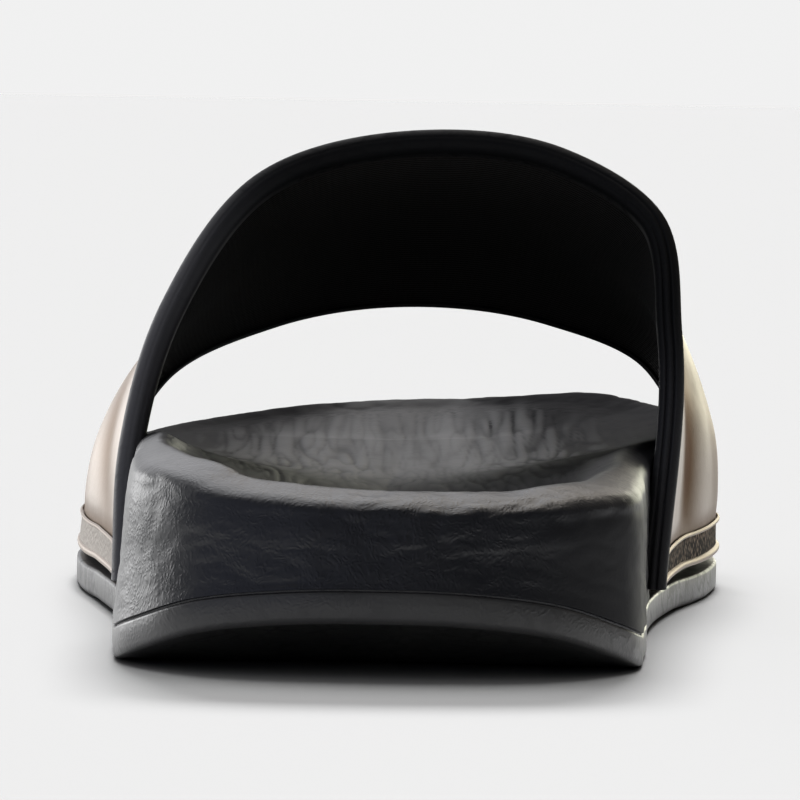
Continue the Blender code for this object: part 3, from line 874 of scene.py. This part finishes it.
    def knitted(self, groups: Groups) -> bpy.types.Material:
        """Matt knitted lining."""
        made, wiring, shader = self.start()
        place = wiring.add("ShaderNodeTexCoord").outputs["UV"]
        weave = wiring.add("ShaderNodeGroup", node_tree=groups.weave)
        links = made.node_tree.links
        links.new(place, weave.inputs["Vector"])
        fuzz = wiring.add("ShaderNodeTexNoise", {"Vector": place, "Scale": 900.0, "Detail": 3.0})
        shade = wiring.ramp(fuzz.outputs["Fac"], 0.35, 0.75)
        links.new(wiring.blend(shade, (*self.colour, 1.0), (*self.wear_and_hollow_shade, 1.0)), shader.inputs["Base Color"])
        shader.inputs["Roughness"].default_value = self.roughness
        shader.inputs["Sheen Weight"].default_value = 0.02
        shader.inputs["Sheen Roughness"].default_value = 0.6
        pile = wiring.maths("MULTIPLY", fuzz.outputs["Fac"], 0.5)
        height = wiring.maths("ADD", weave.outputs["Height"], pile)
        bump = wiring.add("ShaderNodeBump", {"Height": height, "Distance": self.bump, "Strength": 1.0})
        links.new(bump.outputs["Normal"], shader.inputs["Normal"])
        return made


# The foam's painted colour is painted shade on the bed's sides, in its creases and on the medial heel wall.
FOAM = Finish("footbed_foam", (0.013, 0.014, 0.018), (0.045, 0.045, 0.047), 0.35, specular=0.5,
              crease_size=0.0035, cell_size=0.0006, crease_depth=0.08, crease_rough=0.02, cell_depth=0.35,
              bump=0.00009, dust=0.06, painted_light_and_shade=(0.008, 0.008, 0.009), fold_gloss=0.02,
              fold_rough=0.22)
RUBBER = Finish("outsole_rubber", (0.048, 0.048, 0.049), (0.12, 0.118, 0.114), 0.30,
                crease_size=0.004, cell_size=0.0006, crease_depth=0.1, cell_depth=0.5,
                bump=0.00004, dust=0.2)
# Its painted shade colour and tint darken the troughs of the folds and the hems.
SKIN = Finish("strap_skin", (0.46, 0.42, 0.385), (0.40, 0.355, 0.315), 0.34, metallic=0.9,
              crease_size=0.010, cell_size=0.0007, crease_depth=0.1, crease_rough=0.02, cell_depth=0.4,
              bump=0.00004, dust=0.2, edge_tint=(0.97, 0.94, 0.91),
              painted_light_and_shade=(0.10, 0.070, 0.050), painted_shade_tint=(0.32, 0.22, 0.15))
# The second colours of the knurled strips are painted shade in the hollows between their bumps.
KNURL = Finish("hem_knurl", (0.40, 0.31, 0.24), (0.012, 0.008, 0.006), 0.40, specular=0.1,
               cell_size=0.0009, bump=0.00035)
PALE_KNURL = Finish("hem_strip", (0.30, 0.285, 0.26), (0.22, 0.20, 0.18), 0.10, metallic=0.6,
                    cell_size=0.0009, bump=0.00006)
# Its painted colour is painted light: the bindings' sides paler than their crown.
EDGE = Finish("edge_binding", (0.0042, 0.0045, 0.0053), (0.012, 0.012, 0.013), 0.56, specular=0.12,
              crease_size=0.004, cell_size=0.0006, crease_depth=0.25, cell_depth=0.3,
              bump=0.00006, dust=0.1, painted_light_and_shade=(0.042, 0.043, 0.052), fold_gloss=5.8)
LINING = Finish("strap_lining", (0.0028, 0.0023, 0.0020), (0.006, 0.0050, 0.0043), 0.9,
                specular=0.1, bump=0.00012)


@dataclass
class Footbed:
    """The moulded foam body: groove, tapered wall, broad rim and contoured bed.

    Its rows run from the wall's foot, at share 0, over the rim to the spine, at share 1.
    """

    form: SoleForm
    strap: StrapForm
    round_rows: int = 160
    wall_wrinkle: float = 0.00016
    rim_wrinkle: float = 0.00024
    bed_wrinkle: float = 0.00016
    rim_share: float = 0.30
    rim_spread: float = 0.07
    bed_share: float = 0.42
    bed_fade: float = 0.10
    warp: float = 0.0015
    warp_scale: float = 110.0
    bed_warp_scale: float = 15.0
    seed: int = 5
    across: tuple = (
        Wrinkle((0.0064, 0.0064, 0.0036), 9.0, 1.0, 4.0),
        Wrinkle((0.0038, 0.0038, 0.0023), 0.0, 0.7, 4.0),
    )
    along: tuple = (
        Wrinkle((0.0023, 0.0380, math.inf), 3.37, 1.0, 6.0),
        Wrinkle((0.0016, 0.0240, math.inf), 7.61, 0.8, 6.0),
    )

    def control_rows(self, columns: Columns) -> tuple[list[np.ndarray], list[np.ndarray]]:
        """Rows of points under the wall, which stay crisp, and above, which are rounded."""
        form = self.form
        along = columns.place[:, 1]
        base = form.floor(along) + form.band_height
        middle = form.floor(columns.spine[:, 1]) + form.band_height
        wall = base + form.groove_height
        rim = form.rim(along, columns.side)
        side = np.where(columns.side > 0, form.taper_medial, form.taper_lateral)
        taper = side + (form.taper_end - side) * columns.outward[:, 1] ** 2
        width = form.rim_width(columns)
        edge = taper + width
        crisp = [
            form.toward_spine(columns, 0.0, 0.0, middle),
            form.inset(columns, form.tread_margin, base),
            form.inset(columns, form.groove_depth, base),
            form.inset(columns, form.groove_depth, wall),
            form.inset(columns, form.groove_depth * 0.25, wall + form.groove_height * 0.1),
        ]
        soft = [form.inset(columns, 0.0, wall + form.groove_height / 2)]
        for lean, share in ((0.40, 0.45), (0.85, 1.00)):
            height = wall + (rim - form.rim_round - wall) * share
            soft.append(form.inset(columns, lean * taper, height))
        for across, drop in ((0.06, 0.50), (0.20, 0.34), (0.45, 0.20), (0.75, 0.08)):
            inward = taper + across * width
            soft.append(form.inset(columns, inward, rim - drop * form.rim_round))
        soft.append(form.inset(columns, edge, rim))
        for share in (0.86, 0.70, 0.52, 0.32, 0.0):
            soft.append(form.toward_spine(columns, edge, share, form.bed(columns, share, rim)))
        return crisp, soft

    def build(self) -> bpy.types.Object:
        """Make the foam body with its two seats for the strap."""
        columns = self.form.columns()
        crisp, soft = self.control_rows(columns)
        soft = np.array(soft)
        spans = np.linalg.norm(np.diff(soft, axis=0), axis=2).mean(axis=1)
        knots = np.concatenate(([0.0], np.cumsum(spans)))
        places = np.linspace(0, knots[-1], self.round_rows)
        shares = places / knots[-1]
        rounded, creases = self.wrinkled(hermite(knots, soft, places), shares)
        plain = np.zeros((len(crisp), len(columns.side)))
        shade = np.vstack((plain, self.matt_and_painted_shade(rounded, creases, shares)))
        points = np.concatenate((np.array(crisp), rounded))
        piece = grid_mesh("footbed", points, wrap=True, shade=shade)
        for side in Side:
            carve(piece, self.seat_cutter(side))
        soften(piece, 40)
        return piece

    @staticmethod
    def lines(place: tuple[float, float, float], layers: tuple[Wrinkle, ...]) -> float:
        """Height of winding lines at a place, highest on a line and nearly 0 between lines."""
        height = 0.0
        for layer in layers:
            x, y, z = (value / size for value, size in zip(place, layer.cell))
            height += layer.weight * (1 - abs(noise.noise((x, y, z + layer.shift)))) ** layer.sharpness
        return height

    def wrinkled(self, grid: np.ndarray, shares: np.ndarray) -> tuple[np.ndarray, np.ndarray]:
        """Press the grain's wrinkles into the foam.

        They run across the wall, along the bed, and crowd on the rim.

        Args:
            grid: Rows of points from the wall's foot to the spine.
            shares: Share of each row.

        Returns:
            The grid with its wrinkles, and how strong they are at each point.
        """
        noise.seed_set(self.seed)
        around = np.roll(grid, -1, axis=1) - np.roll(grid, 1, axis=1)
        normal = np.cross(around, np.gradient(grid, axis=0))
        normal /= np.maximum(np.linalg.norm(normal, axis=2, keepdims=True), 1e-12)
        depths = np.zeros(grid.shape[:2])
        creases = np.zeros(grid.shape[:2])
        for row, share in enumerate(shares):
            on_bed = float(fade(share, self.bed_share, self.bed_fade))
            on_rim = math.exp(-((share - self.rim_share) / self.rim_spread) ** 2)
            ends = float(smoothstep(share / 0.03)) * float(smoothstep((0.995 - share) / 0.05))
            level = self.wall_wrinkle + (self.bed_wrinkle - self.wall_wrinkle) * on_bed
            level += (self.rim_wrinkle - self.wall_wrinkle) * on_rim
            scale = self.warp_scale
            stretch = scale + (self.bed_warp_scale - scale) * on_bed
            for column, (x, y, z) in enumerate(grid[row]):
                bend = noise.noise_vector((x * scale, y * stretch, z * scale))
                x, y, z = x + bend.x * self.warp, y + bend.y * self.warp, z + bend.z * self.warp
                across = self.lines((x, y, z), self.across)
                along = self.lines((x, y, z), self.along)
                cloud = noise.noise((x * 60, y * 30, z * 60)) * 1.6 + 0.55
                patch = 0.35 + 0.65 * float(smoothstep(cloud))
                height = across + (along - across) * on_bed
                depths[row, column] = level * ends * patch * height
                creases[row, column] = (0.5 + 0.5 * patch) * height
        return grid - normal * depths[..., None], creases

    def matt_and_painted_shade(self, grid: np.ndarray, creases: np.ndarray, shares: np.ndarray) -> np.ndarray:
        """How matt the foam is, and how much painted shade darkens its colour: the bed, above all its sides
        and creases, and the medial wall.

        Args:
            grid: Rows of points from the wall's foot to the spine.
            creases: How strong the wrinkles are at each point.
            shares: Share of each row.

        Returns:
            A value from 0 to 1 for each point.
        """
        form = self.form
        rows = shares[:, None]
        along = grid[..., 1] + form.heel_centre
        middle = form.spine_across(along)
        half = np.maximum(form.across(Side.MEDIAL, along) - middle, form.least_half_width)
        # Painted shade: the bed's sides under the strap and its creases get the darker painted colour.
        sides = fade(np.abs((grid[..., 0] - middle) / half), 0.15, 0.60) * fade(along, 0.055, 0.045)
        lines = np.clip(creases / 1.2, 0, 1)
        inner = np.maximum(fade(rows, 0.40, 0.10), fade(along, 0.07, 0.04) * fade(rows, 0.28, 0.06))
        matt = inner * np.clip(0.64 + 0.36 * sides + 0.18 * (lines - 0.25), 0, 1)
        # Painted shade on the medial side of the heel wall.
        medial = 0.70 * fade(grid[..., 0], 0.012, 0.018)
        return np.maximum(matt, medial * (1 - fade(rows, 0.22, 0.08)))

    def seat_cutter(self, side: Side) -> bpy.types.Object:
        """Closed body that cuts the seat of one foot of the strap."""
        strap = self.strap
        levels = np.array((-strap.overshoot, 0.0, 0.005, 0.010, 0.015, 0.020, 0.025, 0.030, 0.035))
        places = np.linspace(0.0, 1.0, 60)

        def distances(length: float) -> np.ndarray:
            """Levels above one foot, as distances along the hoop."""
            return levels if side is Side.LATERAL else (length - levels)[::-1]

        inner = strap.surface(places, distances, strap.wall + self.form.clearance)
        outer = strap.surface(places, distances, -strap.overshoot)
        for shell in (inner, outer):
            shell[0] += unit(shell[0] - shell[1]) * self.form.clearance
            shell[-1] += unit(shell[-1] - shell[-2]) * self.form.clearance
        loops = np.concatenate((inner, outer[:, ::-1]), axis=1)
        return grid_mesh("seat_cutter", loops, wrap=True, caps=True)


@dataclass
class Outsole:
    """The thin rubber outsole with its side band, bevelled heel and chevron tread."""

    form: SoleForm
    lug_depth: float = 0.0016
    tread_groove: float = 0.0024
    tread_pitch: float = 0.0115
    chevron: float = 0.0050
    heel_start: float = 0.0340
    heel_count: int = 6
    ball_start: float = 0.136
    ball_count: int = 9

    def build(self) -> bpy.types.Object:
        """Make the outsole and cut its tread."""
        form = self.form
        columns = form.columns()
        along = columns.place[:, 1]
        spine = columns.spine[:, 1]
        base = form.floor(along)
        margin, edge, band = form.tread_margin, form.band_edge, form.band_height
        rows = [form.toward_spine(columns, 0.0, 0.0, form.floor(spine, form.waist_hollow))]
        for share in (0.2, 0.4, 0.55, 0.75):
            between = spine + (along - spine) * share
            hollow = form.floor(between, form.waist_hollow)
            rows.append(form.toward_spine(columns, margin, share, hollow))
        rows.append(form.inset(columns, margin * 0.6, base))
        rows.append(form.inset(columns, edge, base))
        for turn in np.linspace(0.2, 1.0, 5) * math.pi / 2:
            inward = edge * (1 - math.sin(turn))
            rows.append(form.inset(columns, inward, base + edge * (1 - math.cos(turn))))
        rows.append(form.inset(columns, 0.0, base + band / 2))
        for turn in np.linspace(0.0, 1.0, 4) * math.pi / 2:
            inward = edge / 2 * (1 - math.cos(turn))
            rows.append(form.inset(columns, inward, base + band - edge / 2 * (1 - math.sin(turn))))
        rows.append(form.inset(columns, margin, base + band))
        rows.append(form.toward_spine(columns, margin, 0.0, form.floor(spine) + band))
        piece = grid_mesh("outsole_tread", np.array(rows), wrap=True)
        carve(piece, self.tread_cutter())
        soften(piece, 35)
        return piece

    def tread_cutter(self) -> bpy.types.Object:
        """Chevron bars that cut the tread's grooves."""
        form = self.form
        mesh = bmesh.new()
        starts = [self.heel_start + self.tread_pitch * index for index in range(self.heel_count)]
        starts += [self.ball_start + self.tread_pitch * index for index in range(self.ball_count)]
        room = form.tread_margin + self.chevron / 2
        for along in starts:
            lateral = float(form.across(Side.LATERAL, along)) + room
            medial = float(form.across(Side.MEDIAL, along)) - room
            waves = (0.0, self.chevron, 0.0, self.chevron, 0.0)
            row = [(x, along + wave) for x, wave in zip(np.linspace(lateral, medial, 5), waves)]
            back = [(x, y + self.tread_groove) for x, y in reversed(row)]
            level = max(float(form.floor(along)), float(form.floor(along + self.chevron))) + self.lug_depth
            low = [mesh.verts.new((x, y - form.heel_centre, -self.lug_depth)) for x, y in row + back]
            grown = bmesh.ops.extrude_face_region(mesh, geom=[mesh.faces.new(low)])
            lifted = [item for item in grown["geom"] if isinstance(item, bmesh.types.BMVert)]
            bmesh.ops.translate(mesh, verts=lifted, vec=(0, 0, level + self.lug_depth))
        bmesh.ops.recalc_face_normals(mesh, faces=mesh.faces)
        return shaped("tread_cutter", mesh)


@dataclass
class Strap:
    """The strap: metallic outside, padded lining, folded bindings and hems."""

    form: StrapForm
    skin: float = 0.0013
    rows: int = 72
    stations: int = 150
    base_depth: float = 0.00012
    tuck_depth: float = 0.00042
    skin_shell: float = 0.0006
    layer_groove: float = 0.00045
    layers: tuple[float, float] = (0.40, 0.70)
    layer_spread: float = 0.055
    lining_step: float = 0.0003
    # Painted shade over each whole hem, dulling its lips, more on the medial side.
    hem_painted_shade: dict = field(default_factory=lambda: {Side.LATERAL: 0.22, Side.MEDIAL: 0.45})
    lateral_folds: tuple = (
        Fold(0.17, 13.0, 0.11, 0.018, 0.014, 0.00026),
        Fold(0.02, 2.0, 0.08, 0.016, 0.014, -0.00010),
        Fold(0.70, 4.0, 0.12, 0.016, 0.014, 0.00020),
    )
    medial_folds: tuple = (
        Fold(0.40, 0.0, 0.09, 0.017, 0.017, 0.00055),
        Fold(0.20, 0.0, 0.06, 0.014, 0.014, -0.00010),
        Fold(0.72, 0.0, 0.10, 0.014, 0.014, 0.00022),
    )

    def spread(self, low: float, count: int) -> Callable[[float], np.ndarray]:
        """Distances along a hoop between two heights above its feet."""
        return lambda length: np.linspace(low, length - low, count)

    def folds(self, places: np.ndarray, low: float) -> np.ndarray:
        """Depths of the listed folds under the surface, tucked in at the hems.

        Args:
            places: Places across the strap.
            low: Distance of the first and last station from the feet.

        Returns:
            Depth for each place and station.
        """
        rows = []
        for place in places:
            length = chord_lengths(self.form.hoop(float(place)))[-1]
            distance = np.linspace(low, length - low, self.stations)
            depth = np.full(self.stations, self.base_depth)
            for level, table in ((distance, self.lateral_folds), (length - distance, self.medial_folds)):
                for fold in table:
                    across = (place - fold.place - fold.lean * level) / fold.width
                    along = (level - fold.level) / fold.reach
                    depth += fold.depth * np.exp(-across ** 2 - along ** 2)
                tuck = 1 - fade(level, low, 0.0035)
                depth += (self.tuck_depth - depth) * tuck
            rows.append(depth)
        return np.array(rows)

    def outside(self) -> bpy.types.Object:
        """The metallic outer skin above the hems."""
        form = self.form
        binding, gap = form.binding_share()
        places = np.linspace(binding + gap * 0.3, 1 - binding - gap * 0.3, self.rows)
        low = form.hem_height + form.sole.clearance / 2
        depths = self.folds(places, low)
        points = form.surface(places, self.spread(low, self.stations), depths)
        # Painted shade: the deeper a fold's trough, the darker brown its colour and reflection.
        shade = np.clip((depths - self.base_depth) / 0.0005, 0, 1) ** 0.8
        piece = grid_mesh("strap_skin", points, scale=(0.09, 0.21), shade=shade)
        thicken(piece, self.skin_shell)
        return piece

    def inside(self) -> bpy.types.Object:
        """The black lining under the skin, down to the feet."""
        form = self.form
        binding, gap = form.binding_share()
        places = np.linspace(binding + gap * 0.15, 1 - binding - gap * 0.15, self.rows)
        depth = self.skin + form.sole.clearance
        points = form.surface(places, self.spread(0.0, self.stations), depth)
        piece = grid_mesh("strap_lining", points, scale=(0.09, 0.21))
        thicken(piece, form.wall - depth - self.lining_step)
        return piece

    def binding(self, end: End) -> bpy.types.Object:
        """The folded edge along the strap's rear or front rim."""
        form = self.form
        share, _ = form.binding_share()
        profile = [(1.00, -form.binding_proud), (0.75, -form.binding_proud)]
        thick = form.wall + form.binding_proud
        for turn in np.linspace(0, math.pi, 45):
            down = (1 - math.cos(turn)) / 2
            profile.append((0.5 - 0.5 * math.sin(turn), down * thick - form.binding_proud))
        profile += [(0.75, form.wall), (1.00, form.wall)]
        around = np.linspace(-1, 1, self.stations)
        strength = 0.10 + 0.90 * fade(around, 0.15, 0.50)
        loops = []
        for across, depth in profile:
            place = across * share if end is End.REAR else 1 - across * share
            pair = np.array((place, place + 0.004))
            row = form.surface(pair, self.spread(0.0, self.stations), depth)
            way = unit(row[1] - row[0]) * (1 if end is End.REAR else -1)
            down = (depth + form.binding_proud) / thick
            groove = sum(math.exp(-((down - layer) / self.layer_spread) ** 2) for layer in self.layers)
            front = 1.0 if across < 0.5 else 0.0
            loops.append(row[0] + way * (self.layer_groove * groove * front * strength)[:, None])
        loops = np.array(loops).transpose(1, 0, 2)
        # Painted light: the binding's sides get a paler, glossier colour than its dark crown, the lateral
        # side most.
        sides = 1 - fade(around, -0.60, 0.42) + 0.35 * fade(around, 0.50, 0.25)
        shade = np.repeat(sides[:, None], loops.shape[1], axis=1)
        piece = grid_mesh(end.name.lower() + "_edge", loops, wrap=True, caps=True, scale=(0.21, 0.01),
                          shade=shade)
        soften(piece, 50)
        return piece

    def hem_profile(self, side: Side) -> list[tuple[float, float]]:
        """Heights and depths round a hem: bead, recessed strip and lip over the skin."""
        form = self.form
        thick, bead, top = form.hem_thickness, form.bead_height, form.hem_height
        proud, sunk = (0.00018, 0.00035) if side is Side.MEDIAL else (0.0001, 0.00015)
        profile = [(0.0, thick), (0.0, 0.2 * thick)]
        for turn in np.linspace(0.15, 0.85, 6) * math.pi:
            level = bead * (1 - math.cos(turn)) / 2
            profile.append((level, 0.1 * thick - (0.1 * thick + proud) * math.sin(turn)))
        profile += [(height, sunk) for height in np.linspace(bead + 0.0001, top - 0.0003, 9)]
        profile += [(top - 0.0002, 0.0), (top - 0.0001, -0.00015), (top + 0.0001, -0.0002)]
        profile += [(top + 0.0003, -0.0001), (top + 0.0004, 0.0001), (top + 0.0003, 0.00022)]
        profile += [(top - 0.0001, 0.00028), (top - 0.0001, thick)]
        return profile

    def recess_span(self, side: Side, width: float) -> tuple[float, float]:
        """Part of the hem's UV map, of a width, that lies on its recessed strip."""
        profile = self.hem_profile(side)
        deep = [index for index, row in enumerate(profile) if 8 <= index < 17]
        return deep[0] / len(profile) * width, deep[-1] / len(profile) * width

    def hem(self, side: Side) -> bpy.types.Object:
        """One hem at a foot of the strap, with the bead at its bottom."""
        form = self.form
        binding, gap = form.binding_share()
        places = np.linspace(binding + gap, 1 - binding - gap, 240)
        profile = self.hem_profile(side)
        fine = np.linspace(0.0, form.hem_height + 0.0006, 54)

        def fine_distances(length: float) -> np.ndarray:
            """Even rising distances over the hem's height."""
            return fine if side is Side.LATERAL else (length - fine)[::-1]

        skin = form.surface(places, fine_distances)
        under = form.surface(places, fine_distances, 1.0e-3)
        if side is Side.MEDIAL:
            skin, under = skin[:, ::-1], under[:, ::-1]
        normal = (skin - under) / 1.0e-3
        loops = []
        for height, depth in profile:
            spot = height / fine[-1] * (len(fine) - 1)
            low = min(int(spot), len(fine) - 2)
            part = spot - low
            base = skin[:, low] * (1 - part) + skin[:, low + 1] * part
            way = normal[:, low] * (1 - part) + normal[:, low + 1] * part
            loops.append(base - way * depth)
        loops = np.array(loops).transpose(1, 0, 2)
        # The whole hem takes painted shade from the skin's finish.
        shade = np.full(loops.shape[:2], self.hem_painted_shade[side])
        piece = grid_mesh(side.name.lower() + "_hem_strip", loops, wrap=True, caps=True,
                          scale=(0.115, 0.012), shade=shade)
        soften(piece, 45)
        return piece


@dataclass(frozen=True)
class Studio:
    """Floor, soft light from all round with a dim camera side, and the camera."""

    distance: float = 0.900
    eye_height: float = 0.0765
    photo_focal: float = 3717.0
    photo_axis: tuple[float, float] = (204.0, 246.0)
    photo_centre: tuple[float, float] = (210.5, 412.5)
    photo_side: float = 800.0
    magnification: float = 1.9
    roll_degrees: float = 1.0
    backdrop: float = 0.876
    floor_size: float = 60.0
    floor_colour: float = 0.12
    front_light: float = 0.06
    low_back: float = 0.30
    high_back: float = 1.35
    top_share: float = 1.9
    right_share: float = 0.08
    left_share: float = 0.25
    panels: tuple = (
        Panel((-0.66, 0.75, 0.04), 0.90, 4.30, 1.0),
        Panel((0.25, 0.97, 0.01), 0.96, 3.70, 0.80),
        Panel((-0.70, -0.70, 0.15), 0.60, 0.26, 1.60),
    )
    lamps: tuple = (
        Lamp(-5.0, 28.0, 12.0, 12.8),
        Lamp(5.0, 28.0, 12.0, 12.8),
        Lamp(0.0, 60.0, 50.0, 8.6),
        Lamp(180.0, 40.0, 60.0, 1.3),
    )

    def camera(self, heel_back: float) -> None:
        """Place the camera behind the heel at the photo's angle.

        Args:
            heel_back: Y of the heel's back end.
        """
        data = bpy.data.cameras.new("camera")
        made = placed("camera", data)
        right = (self.photo_centre[0] - self.photo_axis[0]) / self.photo_focal
        down = (self.photo_centre[1] - self.photo_axis[1]) / self.photo_focal
        look = Vector((right, 1.0, -down)).normalized()
        roll = Quaternion(look, -math.radians(self.roll_degrees))
        made.location = (0.0, heel_back - self.distance, self.eye_height)
        made.rotation_mode = "QUATERNION"
        made.rotation_quaternion = roll @ look.to_track_quat("-Z", "Y")
        data.sensor_width = 36.0
        data.lens = self.photo_focal * self.magnification / self.photo_side * data.sensor_width
        data.clip_start = 0.01
        data.clip_end = 200.0
        bpy.context.scene.camera = made

    def floor(self) -> bpy.types.Object:
        """Plain pale floor."""
        mesh = bmesh.new()
        bmesh.ops.create_grid(mesh, x_segments=1, y_segments=1, size=self.floor_size / 2)
        made = shaped("floor", mesh)
        finish = bpy.data.materials.new("floor_paper")
        finish.use_nodes = True
        shader = finish.node_tree.nodes["Principled BSDF"]
        shader.inputs["Base Color"].default_value = (*[self.floor_colour] * 3, 1.0)
        shader.inputs["Roughness"].default_value = 1.0
        shader.inputs["Specular IOR Level"].default_value = 0.0
        made.data.materials.append(finish)
        return made

    def light(self) -> None:
        """World light: bright all round and above, dim from behind the camera."""
        world = bpy.data.worlds.new("studio")
        bpy.context.scene.world = world
        world.use_nodes = True
        wiring = Wiring(world.node_tree)
        way = wiring.add("ShaderNodeTexCoord").outputs["Generated"]
        parts = wiring.add("ShaderNodeSeparateXYZ", {0: way})
        x, y, z = parts.outputs
        back = wiring.ramp(z, 0.04, 0.32, self.low_back, self.high_back)
        back = wiring.maths("MULTIPLY", back, wiring.ramp(z, 0.40, 0.85, 1.0, self.top_share))
        back = wiring.maths("MULTIPLY", back, wiring.ramp(x, -0.60, -0.25, self.left_share, 1.0))
        behind = wiring.ramp(y, -0.55, 0.35)
        glow = wiring.maths("ADD", wiring.maths("MULTIPLY", back, behind), self.front_light)
        glow = wiring.maths("MULTIPLY", glow, wiring.ramp(x, 0.14, 0.36, 1.0, self.right_share))
        warm = wiring.ramp(x, -0.05, 0.25)
        tint = wiring.blend(warm, (1.0, 1.0, 1.03, 1.0), (1.0, 0.90, 0.78, 1.0))
        tinted = wiring.add("ShaderNodeVectorMath", {0: tint, "Scale": glow}, operation="SCALE")
        for panel in self.panels:
            aim = Vector(panel.aim).normalized()
            facing = wiring.add("ShaderNodeVectorMath", {0: way, 1: aim}, operation="DOT_PRODUCT")
            share = wiring.ramp(facing.outputs["Value"], panel.edge, 0.99)
            tones = (1 / panel.cool, 1.1 / panel.cool, panel.cool)
            hue = [panel.strength * min(1.0, tone) for tone in tones]
            added = wiring.add("ShaderNodeVectorMath", {0: hue, "Scale": share}, operation="SCALE")
            both = {0: tinted.outputs[0], 1: added.outputs[0]}
            tinted = wiring.add("ShaderNodeVectorMath", both, operation="ADD")
        camera_ray = wiring.add("ShaderNodeLightPath").outputs["Is Camera Ray"]
        colour = wiring.blend(camera_ray, tinted.outputs[0], (*[self.backdrop] * 3, 1.0))
        background = world.node_tree.nodes["Background"]
        world.node_tree.links.new(colour, background.inputs["Color"])

    def floor_lamps(self, floor: bpy.types.Object, soles: list[bpy.types.Object]) -> None:
        """Lamps behind the shoe that light the floor alone, where the sole draws their shade.

        Args:
            floor: The floor that the lamps light.
            soles: The pieces that draw the shade.
        """
        lit = bpy.data.collections.new("lit_floor")
        lit.objects.link(floor)
        casting = bpy.data.collections.new("casting_shade")
        for sole in soles:
            casting.objects.link(sole)
        for lamp in self.lamps:
            data = bpy.data.lights.new("floor_lamp", "SUN")
            data.energy = lamp.strength
            data.angle = math.radians(lamp.spread)
            made = placed("floor_lamp", data)
            turn, rise = math.radians(lamp.turn), math.radians(lamp.rise)
            level = math.cos(rise)
            source = Vector((math.sin(turn) * level, math.cos(turn) * level, math.sin(rise)))
            made.rotation_mode = "QUATERNION"
            made.rotation_quaternion = source.to_track_quat("Z", "Y")
            made.light_linking.receiver_collection = lit
            made.light_linking.blocker_collection = casting

    def colour_management(self) -> None:
        """Plain display of the colours, as in a product photograph."""
        bpy.context.scene.view_settings.view_transform = "Standard"

    def build(self, heel_back: float, soles: list[bpy.types.Object]) -> None:
        """Set up the whole studio round the shoe."""
        self.camera(heel_back)
        self.floor_lamps(self.floor(), soles)
        self.light()
        self.colour_management()


def clear_scene() -> None:
    """Remove what the file holds before the frame is loaded."""
    for item in list(bpy.data.objects):
        bpy.data.objects.remove(item, do_unlink=True)


def main() -> None:
    """Build the slide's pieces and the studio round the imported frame."""
    logging.basicConfig(level=logging.INFO, format="%(name)s: %(message)s")
    clear_scene()
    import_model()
    low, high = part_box("outsole")
    sole = SoleForm(length=high.y - low.y, heel_centre=-low.y)
    strap = StrapForm(sole)
    groups = Groups()
    skin = SKIN.grained(groups)
    edge = EDGE.grained(groups)

    bed = dress(Footbed(sole, strap).build(), FOAM.grained(groups), "footbed_foam", "midsole")
    tread = dress(Outsole(sole).build(), RUBBER.grained(groups), "outsole_rubber", "outsole")
    upper = Strap(strap)
    dress(upper.outside(), skin, "strap_skin", "strap")
    dress(upper.inside(), LINING.knitted(groups), "strap_lining")
    dress(upper.binding(End.REAR), edge, "edge_binding", "rear_binding")
    dress(upper.binding(End.FRONT), edge, "edge_binding", "front_binding")
    for side, strip in ((Side.LATERAL, PALE_KNURL), (Side.MEDIAL, KNURL)):
        finish = SKIN.knurled(groups, strip, upper.recess_span(side, 0.012))
        dress(upper.hem(side), finish, "strap_skin", side.name.lower() + "_hem")

    Studio().build(low.y, [bed, tread])


if __name__ == "__main__":
    main()
